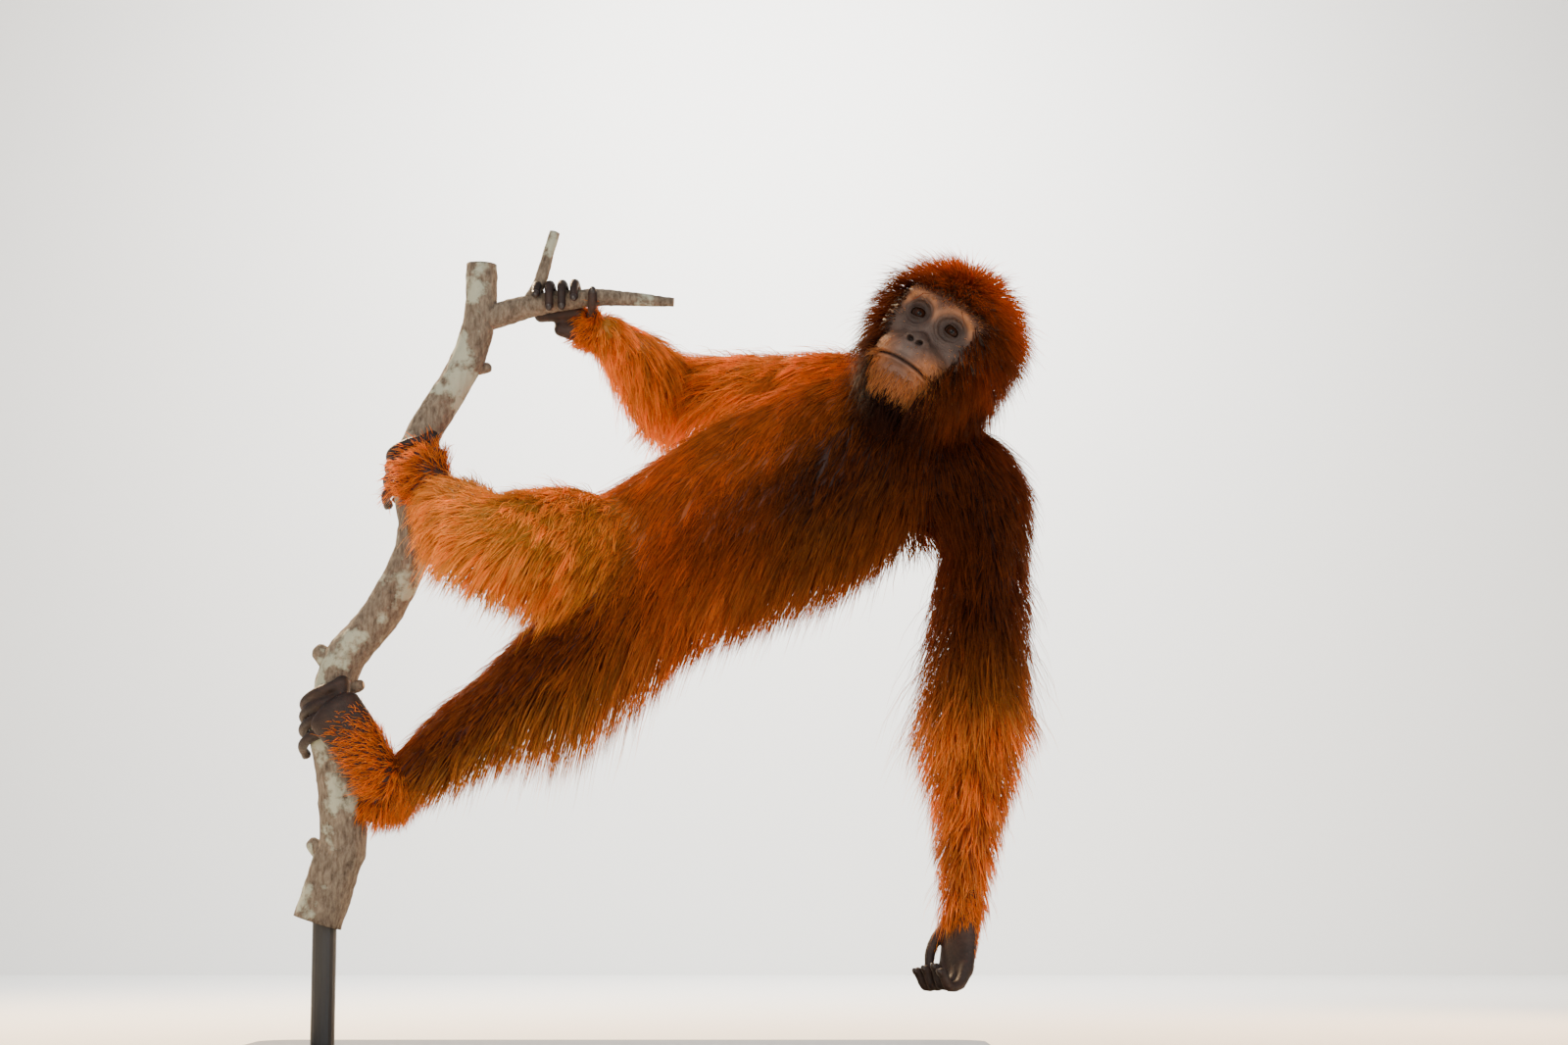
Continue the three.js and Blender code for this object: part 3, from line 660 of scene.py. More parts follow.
def skin_grain(p):
    x, y, z = p[..., 0], p[..., 1], p[..., 2]
    pores = np.sin(x * 1.9 + 2 * np.sin(z * 0.7)) * np.sin(z * 2.1 + 2 * np.sin(y * 0.6))
    return PORE_DEPTH * pores


for side in (-1, 1):
    centre = eye_centre(side)
    for upper in (True, False):
        head.blend(lid_shell(side, upper), centre - 22, centre + 22, soft=1.6)
    head.lump(centre, (EYE["r"] + 0.5,) * 3, 0.8, cut=True, reach=18)
    turn = math.radians(28 * side)
    cos, sin = math.cos(turn), math.sin(turn)
    slant = np.array([[cos, 0, sin], [0, 1, 0], [-sin, 0, cos]])
    nostril = (side * 7.0, 97.5, -19.5)
    head.lump(nostril, (5.4, 9.0, 3.5), 2.0, cut=True, reach=15, turn=slant)
    ear = (side * 83, -14, 6)
    head.lump(ear, (7, 16, 21), 4, reach=28)
    ear_cup = (side * 90, -11, 7)
    head.lump(ear_cup, (6, 10, 14), 3, cut=True, reach=21)
FACE_LOW, FACE_HIGH = (-70, 30, -112), (70, 124, 96)
for detail in (eye_folds, lips, muzzle_creases, skin_grain):
    head.shift(detail, FACE_LOW, FACE_HIGH)
head_local, head_faces = head.surface()
head_local = relaxed(head_local, head_faces, 1, 0.35)
head_points = from_head(head_local)
head_faces = head_faces[:, ::-1]
print("head skin:", len(head_faces), "faces")

# %% [markdown]
# ## Hands and feet
# All four grip: long curved fingers and toes wound round the wood, with a short thumb or great toe
# the other way, and bony joints. The left hand hangs with its fingers closed.

# %% Hands and feet
DIGIT_R = 9.6
DIGITS = []


def wound(centre, axis, start, reach, turns, drift, count):
    across = unit(np.cross(axis, start))
    base = np.cross(across, axis)
    f = np.linspace(0, 1, count)[:, None]
    angle = np.radians(turns[0] + (turns[1] - turns[0]) * f)
    return centre + reach * (np.cos(angle) * base + np.sin(angle) * across) + axis * drift * f


def digit(points, radius):
    f = np.linspace(0, 1, len(points))
    r = radius * (1 - 0.28 * f) * (1 + 0.07 * np.cos(f * 6 * math.pi))
    form = Form(np.column_stack([points, r, r]), front=unit([0.31, -0.52, 0.79]), per_span=2)
    DIGITS.append(form)
    return form


def grip(centre, axis, radius, start, pitch, digit_r, sweep, drift, thumb):
    """Four digits side by side round the wood, the bar of their knuckles, and the thumb."""
    centre, axis = np.array(centre, dtype=float), unit(axis)
    forms, knuckles = [], []
    for k in range(4):
        share = (0.9, 1, 1, 0.82)[k]
        middle = centre - axis * pitch * (k - 1.5)
        turns = (sweep[0], sweep[0] + (sweep[1] - sweep[0]) * share)
        path = wound(middle, axis, start, radius + digit_r * 0.92, turns, drift, 8)
        forms.append(digit(path, digit_r))
        knuckles.append((*path[0], digit_r * 1.25, digit_r * 1.25))
    forms.append(Form(knuckles, front=start, per_span=2))
    middle = centre + axis * thumb["shift"]
    path = wound(middle, axis, start, radius + digit_r, thumb["turns"], thumb["drift"], 5)
    forms.append(digit(path, digit_r * 1.05))
    return forms


EAST, NORTH = np.array([1.0, 0, 0]), np.array([0, 1.0, 0])
FOOT_LEFT = [
    Form(
        [
            (-340, -26, 432, 30, 34),
            (-368, -34, 452, 34, 36),
            (-398, -50, 500, 40, 24),
            (-432, -56, 545, 44, 20),
        ]
    ),
    Form([(-345, -20, 418, 30, 32), (-372, -10, 404, 28, 28), (-388, 0, 404, 22, 24)]),
    Form([(-372, -14, 425, 18, 18), (-392, 4, 455, 16, 16), (-398, 8, 470, 13, 13)]),
    *grip(
        (-445, 0, 560),
        (0.02, 0, 1),
        34,
        EAST,
        pitch=21,
        digit_r=10,
        sweep=(-62, -232),
        drift=-46,
        thumb={"shift": -92, "turns": (10, 120), "drift": 10},
    ),
]
FOOT_RIGHT = [
    Form([(-276, -62, 876, 32, 34), (-292, -60, 902, 35, 33), (-306, -56, 935, 42, 21)]),
    Form([(-278, -56, 872, 30, 32), (-276, -34, 858, 28, 28), (-280, -18, 850, 22, 24)]),
    Form([(-280, -30, 868, 18, 18), (-280, -6, 876, 15, 15), (-284, 8, 882, 12, 12)]),
    *grip(
        (-321, 0, 950),
        (0.1, 0, 1),
        30,
        EAST,
        pitch=21,
        digit_r=10,
        sweep=(-48, -236),
        drift=-44,
        thumb={"shift": -72, "turns": (10, 125), "drift": 8},
    ),
]
HAND_RIGHT = [
    Form(
        [(-18, 34, 1158, 26, 24), (-48, 32, 1166, 33, 20), (-84, 34, 1182, 40, 16)],
        front=unit([0.2, 0.7, -0.7]),
    ),
    *grip(
        (-96, -6, 1204),
        (1, 0, 0.06),
        18,
        NORTH,
        pitch=20,
        digit_r=DIGIT_R - 0.3,
        sweep=(-40, 205),
        drift=-4,
        thumb={"shift": 52, "turns": (-70, -190), "drift": 4},
    ),
]
WRIST_LEFT = np.array([542.0, -25.0, 251.0])
PALM_DOWN = unit([-0.14, -0.14, -0.98])
PALM_FACE = unit([-0.82, -0.56, 0.02])
PALM_WIDE = unit(np.cross(PALM_DOWN, PALM_FACE))
PALM_LENGTH = 118


def on_hand(along, face, wide):
    return WRIST_LEFT + PALM_DOWN * along + PALM_FACE * face + PALM_WIDE * wide


def curled(wide, lengths, bends):
    points = [on_hand(PALM_LENGTH - 18, 2, wide)]
    turn = 0.0
    for reach, bend in zip(lengths, bends):
        turn += math.radians(bend)
        way = PALM_DOWN * math.cos(turn) + PALM_FACE * math.sin(turn)
        start = points[-1]
        points += [start + way * reach * 0.55]
    points.append(points[-1] + way * lengths[-1] * 0.45)
    return np.array(points)


HAND_LEFT = [
    Form(
        [(*on_hand(a, 0, 0), w, d) for a, w, d in ((-46, 25, 22), (8, 28, 21), (60, 38, 18), (106, 40, 14))],
        front=PALM_FACE,
    )
]
for k, wide in enumerate((-29, -10, 10, 28)):
    bend = 3 * abs(k - 1)
    HAND_LEFT.append(digit(curled(wide, (48, 38, 28), (22 + 3 * k - bend, 62 - bend, 66 - bend)), DIGIT_R))
thumb_left = [on_hand(28, 4, 24), on_hand(52, 16, 38), on_hand(76, 22, 42), on_hand(94, 22, 40)]
HAND_LEFT.append(digit(np.array(thumb_left), DIGIT_R))

LIMB_ENDS = {
    "hand_right": HAND_RIGHT,
    "hand_left": HAND_LEFT,
    "foot_right": FOOT_RIGHT,
    "foot_left": FOOT_LEFT,
}
END_STEP = 2.6
end_skins = {}
for name, forms in LIMB_ENDS.items():
    low = np.min([f.low for f in forms], axis=0)
    high = np.max([f.high for f in forms], axis=0)
    field = Field(low, high, END_STEP)
    for form in forms:
        onto(field, form, 3.5)
    points, faces = field.surface()
    end_skins[name] = (relaxed(points, faces, 1), faces)
    print(name, len(faces), "faces")

# %% [markdown]
# ## Markings and painted light
# Skin and coat share one set of markings, with painted light and shade laid into them. The chest,
# throat and inner arms are dark red-brown, and every side that faces the viewer is darkened further
# with painted shade. The limbs are orange, and the right arm, the right leg, the top of the back and
# the long fringes are painted gold, a painted rim light from the key behind. The crown is dark, with
# painted orange light on top. Bare skin is grey-brown on the face, tan round the mouth and on the
# upper lids, and nearly black on the palms and soles.

# %% Markings and painted light
DARK = linear("#39150c")
RUST = linear("#933a17")
ORANGE = linear("#d66d22")
GOLD = linear("#f2ae40")
PALE = linear("#f6dc98")
UMBER = linear("#24110b")
SKIN_BODY = linear("#4a3228")
SAY_FADES = 15.0


def mix(a, b, f):
    f = np.clip(np.asarray(f), 0, 1)[..., None]
    return a * (1 - f) + b * f


def noise(p, scale, seed=0):
    """Smooth wandering values between 0 and 1, from a few sine waves."""
    r = np.random.default_rng(seed)
    total = np.zeros(p.shape[:-1])
    for _ in range(5):
        way = unit(r.normal(size=3)) * (2 * math.pi / scale) * r.uniform(0.6, 1.6)
        total += np.sin(p @ way + r.uniform(0, 6.28))
    return np.clip(0.5 + total / 6, 0, 1)


def shares(p):
    """For each body form: its say at each point, and the point's place and turn on it."""
    measured = [form.measure(p) for form in MASSES.values()]
    far = np.stack([m[0] for m in measured], axis=1)
    say = np.exp(-(far - far.min(axis=1, keepdims=True)) / SAY_FADES)
    say /= say.sum(axis=1, keepdims=True)
    return {key: (say[:, i], measured[i][1], measured[i][2]) for i, key in enumerate(MASSES)}


def tone_on(key, p, along, turn):
    """The coat's colour near its root, on one body form, with painted light and shade laid in: darker on the
    side facing the viewer, orange and gold on the lit parts.
    """
    # front is the side facing the viewer: every darkening by it below is painted shade.
    front = np.clip(np.cos(turn), 0, 1)
    # over is the upper side: the gold by it is painted light from the key above.
    over = np.clip(-np.sin(turn), 0, 1)
    mottle = 0.3 * noise(p, 110, 3)
    if key == "spine":
        # Orange and gold painted light on the rump and upper side. The chest's darkening is partly its own
        # dark red-brown and partly painted shade on its front.
        painted_glow = mix(mix(ORANGE, GOLD, 0.25 * over), RUST, 0.55 * along + 0.6 * mottle)
        return mix(painted_glow, DARK, np.clip((along - 0.36 - 0.4 * over) / 0.26, 0, 1) * (0.3 + 0.7 * front))
    if key in ("neck", "shoulder_left"):
        # Throat and left shoulder: dark red-brown of their own, deepened by painted shade towards the front.
        return mix(RUST, mix(DARK, UMBER, 0.8 * front), 0.3 + 0.7 * front)
    if key == "shoulder_right":
        # The right shoulder is painted a lighter orange than the left: painted light.
        return mix(RUST, ORANGE, 0.6 + mottle)
    if key == "arm_left":
        # Upper arm: partly its own dark inner arm, partly painted shade towards the front.
        upper = mix(RUST, DARK, 0.25 + 0.6 * front)
        return mix(upper, ORANGE, 0.9 * np.clip((along - 0.38) / 0.25, 0, 1))
    if key == "arm_right":
        # Gold on this arm: painted light over its orange.
        return mix(ORANGE, GOLD, 0.25 + 0.35 * along)
    if key == "leg_right":
        # Gold on this leg: painted light over its orange.
        return mix(ORANGE, GOLD, 0.45 + 0.55 * bell(along, 0.5, 0.34))
    # Darker towards the front: painted shade.
    return mix(mix(RUST, ORANGE, mottle), DARK, 0.62 * front)


# The coat's colour at each point, painted light and shade included, each body form having its say.
def coat_tone_and_painted_light(p, told):
    return sum(say[:, None] * tone_on(key, p, along, turn) for key, (say, along, turn) in told.items())


print("markings ready")

# %% [markdown]
# ## An unwrap of the skin
# The skin is cut into charts the way a pattern is cut for a glove: by body part, and by the side
# that each face looks to. Each chart fills one cell of a grid, and the hair uses the place of its
# own root on the same unwrap.

# %% Skin unwrap
REGIONS = ["spine", "shoulders", "neck", "arm_right", "arm_left", "leg_right", "leg_left", "head", *LIMB_ENDS]
SIDES = 6
CELLS = 9
CELL = 1 / CELLS
CELL_EDGE = 0.04
REGION_OF_MASS = {"shoulder_left": "shoulders", "shoulder_right": "shoulders"}


class Unwrap:
    """Charts by region and by the side that a face looks to."""

    def __init__(self):
        self.low = {}
        self.size = {}

    def learn(self, region, points):
        self.low[region] = points.min(axis=0) - 1
        self.size[region] = points.max(axis=0) - self.low[region] + 1

    def place(self, region, side, p):
        """UV of points p that look to a side: 0 to 5 for +x, -x, +y, -y, +z, -z."""
        q = (p - self.low[region]) / self.size[region]
        axes = np.array([(1, 2), (1, 2), (0, 2), (0, 2), (0, 1), (0, 1)])[side]
        uv = np.stack([np.take_along_axis(q, axes[:, [k]], axis=1)[:, 0] for k in (0, 1)], axis=1)
        number = REGIONS.index(region) * SIDES + side
        corner = np.stack([number % CELLS, number // CELLS], axis=1) * CELL
        return corner + CELL * (CELL_EDGE + (1 - 2 * CELL_EDGE) * uv)


unwrap = Unwrap()


def side_of(normals):
    axis = np.abs(normals).argmax(axis=1)
    sign = np.take_along_axis(normals, axis[:, None], axis=1)[:, 0] < 0
    return axis * 2 + sign


def face_facts(points, faces):
    a, b, c, d = (points[faces[:, i]] for i in range(4))
    normal = np.cross(c - a, d - b)
    area = 0.5 * np.linalg.norm(normal, axis=1)
    return (a + b + c + d) / 4, unit(normal), area


SKINS = {}


def learn_skin(name, points, faces, regions):
    centre, normal, area = face_facts(points, faces)
    SKINS[name] = {
        "points": points,
        "faces": faces,
        "centre": centre,
        "normal": normal,
        "area": area,
        "region": regions,
    }
    for region in set(regions):
        unwrap.learn(region, points[faces[regions == region].ravel()])


told = shares(face_facts(body_points, body_faces)[0])
first = np.argmax(np.stack([say for say, _, _ in told.values()], axis=1), axis=1)
body_regions = np.array([REGION_OF_MASS.get(k, k) for k in MASSES])[first]
learn_skin("body", body_points, body_faces, body_regions)
learn_skin("head", head_points, head_faces, np.full(len(head_faces), "head"))
for name, (points, faces) in end_skins.items():
    learn_skin(name, points, faces, np.full(len(faces), name))


def set_uv(item, uv):
    layer = item.data.uv_layers.new(name="OFBake")
    layer.data.foreach_set("uv", np.asarray(uv, dtype=np.float32).ravel())


def uv_of(skin, pick, points):
    """The places on the unwrap of points that lie on the picked faces, one on each."""
    sides = side_of(skin["normal"][pick])
    regions = skin["region"][pick]
    uv = np.zeros((len(pick), 2))
    for region in set(regions):
        here = regions == region
        uv[here] = unwrap.place(region, sides[here], points[here])
    return uv


def skin_uv(skin):
    faces = skin["faces"]
    every = np.arange(len(faces))
    return np.stack([uv_of(skin, every, skin["points"][faces[:, k]]) for k in range(4)], axis=1)


print("charts:", len(REGIONS) * SIDES)

# %% [markdown]
# ## Skin tones
# The face's tones are laid on with the same masks that made its folds, with painted shade in the
# nostrils and the mouth's slit. The body's skin is brown under the hair and takes on the coat's
# colour, painted light and shade included, so no bare patch shows where the hair parts.


# %% Skin colours
def face_tone(p):
    """Colours of the head's skin from places in the head's frame."""
    x, y, z = p[:, 0], p[:, 1], p[:, 2]
    grey = linear("#56463e")
    dark = linear("#2a1d18")
    tan = linear("#a8693c")
    muzzle = within(z, -100, -30, 5) * within(y, 45, 200, 6)
    layers = [
        (linear("#6e4630"), 0.8 * within(z, 36, 120, 5)),
        (dark, 0.45 * noise(p, 40, 11)),
    ]
    for side in (-1, 1):
        ex, ez = x - side * EYE["x"], z - EYE["z"]
        r = np.sqrt(ex**2 + ez**2)
        outer = 0.75 + 0.25 * np.clip(side * ex / 20, -1, 1)
        arch = outer * bell(r, 26, 4.5) * within(ez, 4, 60, 4)
        layers += [
            (dark, 0.9 * np.exp(-((r / 17) ** 4)) * (y > 35)),
            (linear("#a06b46"), arch * (y > 35)),
        ]
    # The mouth's slit and the nostrils are darkened: painted shade in the recesses.
    slit = bell(z, mouth_line(x), 2.0) * (np.abs(x) < 45)
    nostrils = bell(np.abs(x), 7, 5) * bell(z, -19, 4)
    layers += [
        (tan, 0.72 * muzzle * np.clip(np.abs(x) / 32, 0.12, 1)),
        (tan, 0.55 * within(z, -110, -74, 4) * (y > 40)),
        (linear("#6a5a52"), 0.7 * bell(x, 0, 20) * within(z, -46, -24, 4) * (y > 60)),
        (linear("#6b4a38"), 0.6 * bell(x, 0, 26) * within(z, -74, -57, 3) * (y > 60)),
        (linear("#2a1a16"), 0.9 * slit * (y > 50)),
        (linear("#1d1310"), 0.9 * nostrils * (y > 78)),
        (DARK, np.clip((-y + 20) / 40, 0, 0.9)),
    ]
    tone = np.tile(grey, (len(p), 1))
    for colour, share in layers:
        tone = mix(tone, colour, share)
    return tone * (0.86 + 0.28 * noise(p, 9, 4))[:, None]


def end_tone(p, wrist):
    """Hands and feet: dark skin, a little lighter on the backs near the wrist."""
    black = linear("#241a17")
    brown = linear("#54392c")
    reach = np.clip(np.linalg.norm(p - wrist, axis=1) / 90, 0, 1)
    tone = mix(mix(brown, black, reach), brown, 0.25 * noise(p, 30, 5))
    return tone * (0.8 + 0.4 * noise(p, 7, 6))[:, None]


body_coat = coat_tone_and_painted_light(body_points, shares(body_points))
# The skin under the hair takes the coat's tone, painted light and shade included, darkened to 0.55.
body_tone = mix(SKIN_BODY, body_coat, np.full(len(body_points), 0.85)) * 0.55
WRISTS = {
    "hand_right": ARM_RIGHT.line[-1],
    "hand_left": ARM_LEFT.line[-1],
    "foot_right": LEG_RIGHT.line[-1],
    "foot_left": LEG_LEFT.line[-1],
}
SKINS["body"]["tone"] = body_tone
SKINS["head"]["tone"] = face_tone(to_head(head_points))
for name in LIMB_ENDS:
    SKINS[name]["tone"] = end_tone(SKINS[name]["points"], WRISTS[name])

every_skin = list(SKINS.values())
starts = np.cumsum([0] + [len(skin["points"]) for skin in every_skin])
skin_object = mesh_object(
    "skin",
    np.concatenate([skin["points"] for skin in every_skin]) * MM,
    np.concatenate([skin["faces"] + start for skin, start in zip(every_skin, starts)]),
    np.concatenate([skin["tone"] for skin in every_skin]),
)
set_uv(skin_object, np.concatenate([skin_uv(skin) for skin in every_skin]))
print("skin:", len(skin_object.data.polygons), "faces")

# %% [markdown]
# Ape skin is matt with a soft sheen where it is stretched over bone, and finely creased. The colour
# is the markings, with their painted light and shade, and a fine bump stands for the grain, a little
# over a millimetre across.


# %% Skin material
def skin_material():
    material, tree = new_material("living skin, finely creased")
    tone = add(tree, "VertexColor", layer_name="Tone")
    place = add(tree, "TexCoord")
    where = [("Vector", place.outputs["Object"])]
    grain = add(tree, "TexNoise", where, Scale=520.0, Detail=4.0, Roughness=0.6)
    cells = add(tree, "TexVoronoi", where, Scale=430.0)
    both = add(tree, "Math", [(0, grain.outputs["Fac"]), (1, cells.outputs["Distance"])], operation="ADD")
    bump = add(tree, "Bump", [("Height", both.outputs["Value"])], Strength=0.5, Distance=0.0008)
    surface = add(
        tree,
        "BsdfPrincipled",
        [("Base Color", tone.outputs["Color"]), ("Normal", bump.outputs["Normal"])],
        Roughness=0.56,
        Subsurface_Weight=0.12,
        Subsurface_Scale=0.004,
        Subsurface_Radius=(1.0, 0.35, 0.2),
        Specular_IOR_Level=0.3,
    )
    return finished(material, surface)


skin_object.data.materials.append(skin_material())
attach(skin_object, "root")
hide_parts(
    *["head", "ear_right", "ear_left", "neck", "chest", "belly", "pelvis"],
    *["upper_arm_right", "upper_arm_left", "forearm_right", "forearm_left", "hand_right", "hand_left"],
    *["thigh_right", "thigh_left", "shin_right", "shin_left", "foot_right", "foot_left"],
)
print("skin dressed")

# %% [markdown]
# ## Eyes
# Each eye is a glass eye as a museum sets it: a dark brown iris with a black pupil under a clear
# wet cornea, and a white that is brown at the edge, as in most apes. The animal looks past the
# viewer, to the side that its face is turned to.

# %% Eyes
GAZE = unit([0.2, 0.96, -0.04])
PUPIL, IRIS = 0.29, 0.70
DARK_RIM = (0.60, 0.74)


def eye_ball(name, side):
    """An eyeball with its cornea, coloured by the angle from the middle of the pupil."""
    r = EYE["r"] * HEAD_SCALE * MM
    bpy.ops.mesh.primitive_uv_sphere_add(segments=48, ring_count=32, radius=r)
    item = bpy.context.object
    item.name = name
    points = np.zeros(len(item.data.vertices) * 3)
    item.data.vertices.foreach_get("co", points)
    points = points.reshape(-1, 3)
    facing = points[:, 2] / r
    out = 1 + 0.09 * np.clip((facing - 0.86) / 0.14, 0, 1) ** 1.2
    points *= out[:, None]
    look = unit(GAZE @ HEAD_AXES)
    side_way = unit(np.cross(look, [0, 0, 1]))
    up_way = np.cross(side_way, look)
    centre = from_head(eye_centre(side)) * MM
    world = centre + points[:, :1] * side_way + points[:, 1:2] * up_way + points[:, 2:3] * look
    tone = np.tile(linear("#241812"), (len(points), 1))
    ring = np.arccos(np.clip(facing, -1, 1))
    turn = np.arctan2(points[:, 1], points[:, 0])
    iris = linear("#30180c")
    fibres = 0.75 + 0.5 * (0.5 + 0.5 * np.sin(turn * 31)) * (0.5 + 0.5 * np.sin(turn * 13 + 2))
    tone[ring < IRIS] = iris * fibres[ring < IRIS][:, None]
    tone[(ring > DARK_RIM[0]) & (ring < DARK_RIM[1])] = linear("#120a07")
    tone[ring < PUPIL] = linear("#020202")
    tone[(ring > DARK_RIM[1]) & (ring < 1.0)] = linear("#35241b")
    item.data.vertices.foreach_set("co", world.ravel())
    layer = item.data.color_attributes.new("Tone", "FLOAT_COLOR", "POINT")
    layer.data.foreach_set("color", np.concatenate([tone, np.ones((len(tone), 1))], axis=1).ravel())
    item.data.polygons.foreach_set("use_smooth", np.ones(len(item.data.polygons), dtype=bool))
    item.data.update()
    return item


def eye_material():
    material, tree = new_material("glass eye, polished")
    tone = add(tree, "VertexColor", layer_name="Tone")
    surface = add(
        tree,
        "BsdfPrincipled",
        [("Base Color", tone.outputs["Color"])],
        Roughness=0.18,
        Coat_Weight=0.1,
        Coat_Roughness=0.02,
        Specular_IOR_Level=0.14,
    )
    return finished(material, surface)


glass = eye_material()
for name, side in (("eye_right", -1), ("eye_left", 1)):
    eye = eye_ball("glass_" + name, side)
    eye.data.materials.append(glass)
    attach(eye, "root")
    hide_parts(name)
print("eyes set")

# %% [markdown]
# ## Nails
# Each finger and toe ends in a flat, dark nail on the outer side of its curl. They are horn, harder
# and glossier than the skin, so they are a piece of their own.


# %% Nails
def nail_points(form, rings=7, sides=14):
    """A flat oval of horn near the tip of a digit, on the outside of its bend."""
    tip, way, r = form.line[-1], form.way[-1], form.wide_r[-1]
    bend = form.line[-1] - 2 * form.line[-4] + form.line[-7]
    out = -unit(bend - way * (bend @ way))
    across = np.cross(way, out)
    centre = tip + way * 0.30 * r + out * 0.62 * r
    up = np.linspace(0, math.pi, rings)[:, None]
    turn = np.linspace(0, 2 * math.pi, sides, endpoint=False)[None]
    a = np.cos(up) * np.ones_like(turn)
    b = np.sin(up) * np.cos(turn)
    c = np.sin(up) * np.sin(turn)
    return centre + (a[..., None] * way * 0.98 + b[..., None] * across * 0.78 + c[..., None] * out * 0.48) * r


nail_p, nail_f = [], []
for form in DIGITS:
    grid = nail_points(form)
    nail_f.append(tube_quads(*grid.shape[:2]) + sum(len(p) for p in nail_p))
    nail_p.append(grid.reshape(-1, 3))
nails = mesh_object("nails", np.concatenate(nail_p) * MM, np.concatenate(nail_f))
nail_material, tree = new_material("nail horn, dark")
horn = add(tree, "BsdfPrincipled", Roughness=0.32, Base_Color=rgba("#2b1f1a"))
nails.data.materials.append(finished(nail_material, horn))
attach(nails, "root")
print("nails:", len(DIGITS))

# %% [markdown]
# ## Growing hair
# Each hair here stands for a few real ones lying together: a thin closed sliver, three-sided and
# tapered, that leaves the skin at a slant, follows the lie of the coat and then hangs. Hairs are
# gathered to the tips of shared locks, as an orangutan's coat is, and each is a little different.


# %% Hair maker
def sample_roots(skin, count, cover):
    """Random places on a skin: the face of each, the place and the way out of the skin."""
    chance = np.cumsum(skin["area"] * cover)
    pick = np.searchsorted(chance, rng.random(count) * chance[-1])
    quad = skin["points"][skin["faces"][pick]]
    u, v = rng.random((count, 1)), rng.random((count, 1))
    place = (quad[:, 0] * (1 - u) + quad[:, 1] * u) * (1 - v) + (quad[:, 3] * (1 - u) + quad[:, 2] * u) * v
    return pick, place, skin["normal"][pick]


def along_skin(lie, normal):
    return unit(lie - normal * np.einsum("ij,ij->i", lie, normal)[:, None])


def strayed(lie, normal, spread):
    """Turns each hair's lie a little to one side or the other."""
    return unit(lie + unit(np.cross(lie, normal)) * rng.normal(0, spread, (len(lie), 1)))


def hair_paths(root, normal, lie, length, lift, droop, curl, steps):
    """Points along each hair. Every input is per hair; droop bends it to the ground."""
    n = len(root)
    phase = rng.uniform(0, 2 * math.pi, (n, 2))
    side = unit(np.cross(lie, normal))
    line = np.zeros((n, steps + 1, 3))
    line[:, 0] = root - 1.5 * normal
    for k in range(steps):
        s = (k + 0.5) / steps
        way = lie + normal * (lift * (1 - 0.7 * s))[:, None] + DOWN * (droop * s)[:, None]
        wave = np.sin(phase[:, 0] + 5.5 * s) * curl
        ripple = 0.5 * curl * np.sin(phase[:, 1] + 4.5 * s)
        way = unit(unit(way) + side * wave[:, None] + normal * ripple[:, None])
        inward = np.minimum(np.einsum("ij,ij->i", way, normal) - 0.06, 0)
        bend = np.where(normal[:, 2] > -0.5, 1.0, 0.4)
        way = unit(way - normal * (inward * bend)[:, None])
        line[:, k + 1] = line[:, k] + way * (length / steps)[:, None]
    return line


def gather(line, group, guide, strength):
    """Draws each hair's outer part towards its lock's guide hair."""
    steps = line.shape[1]
    s = np.linspace(0, 1, steps)[None, :, None]
    target = guide[group] + (line[:, :1] - guide[group][:, :1]) * (1 - 0.86 * s)
    pull = strength[:, None, None] * s**0.9
    return line * (1 - pull) + target * pull


FLATNESS = 0.45
TUFT_PATCH = 0.0028


def hair_mesh(name, line, normal, width, root_tone, tip_tone, uv):
    """Closed three-sided slivers along the lines."""
    n, rings = line.shape[0], line.shape[1] - 1
    way = unit(np.gradient(line, axis=1))
    side = unit(np.cross(way, normal[:, None, :]))
    rise = np.cross(side, way)
    s = np.linspace(0, 1, rings + 1)[None, :rings, None]
    taper = (0.7 + 0.5 * np.minimum(s / 0.25, 1)) * (1 - s) ** 0.55
    half = 0.5 * width[:, None, None] * taper
    body_line = line[:, :rings]
    a = body_line + side[:, :rings] * half
    b = body_line + rise[:, :rings] * half * 2 * FLATNESS
    c = body_line - side[:, :rings] * half
    ring_points = np.stack([a, b, c], axis=2).reshape(n, rings * 3, 3)
    points = np.concatenate([ring_points, line[:, rings:]], axis=1)
    per = rings * 3 + 1
    base = []
    for r in range(rings - 1):
        for i in range(3):
            p, q = r * 3 + i, r * 3 + (i + 1) % 3
            base += [(p, q, q + 3), (p, q + 3, p + 3)]
    tip = rings * 3
    last = (rings - 1) * 3
    base += [(last + i, last + (i + 1) % 3, tip) for i in range(3)]
    base += [(0, 2, 1)]
    base = np.array(base)
    faces = (base[None] + (np.arange(n) * per)[:, None, None]).reshape(-1, 3)
    t = np.append(np.repeat(np.linspace(0, 1, rings + 1)[:rings], 3), 1.0)[None, :, None]
    tone = root_tone[:, None] * (1 - t) + tip_tone[:, None] * t
    item = mesh_object(name, (points * MM).reshape(-1, 3), faces, tone.reshape(-1, 3))
    over = np.tile([0, 0.5, 1.0], rings + 1)[:per]
    along = np.append(np.repeat(np.arange(rings), 3), rings) / rings
    spot = np.stack([over, along], axis=1)
    per_point = uv[:, None] + (spot[None] - 0.5) * TUFT_PATCH
    set_uv(item, per_point.reshape(-1, 2)[faces.ravel()])
    item.data.materials.append(HAIR)
    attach(item, "root")


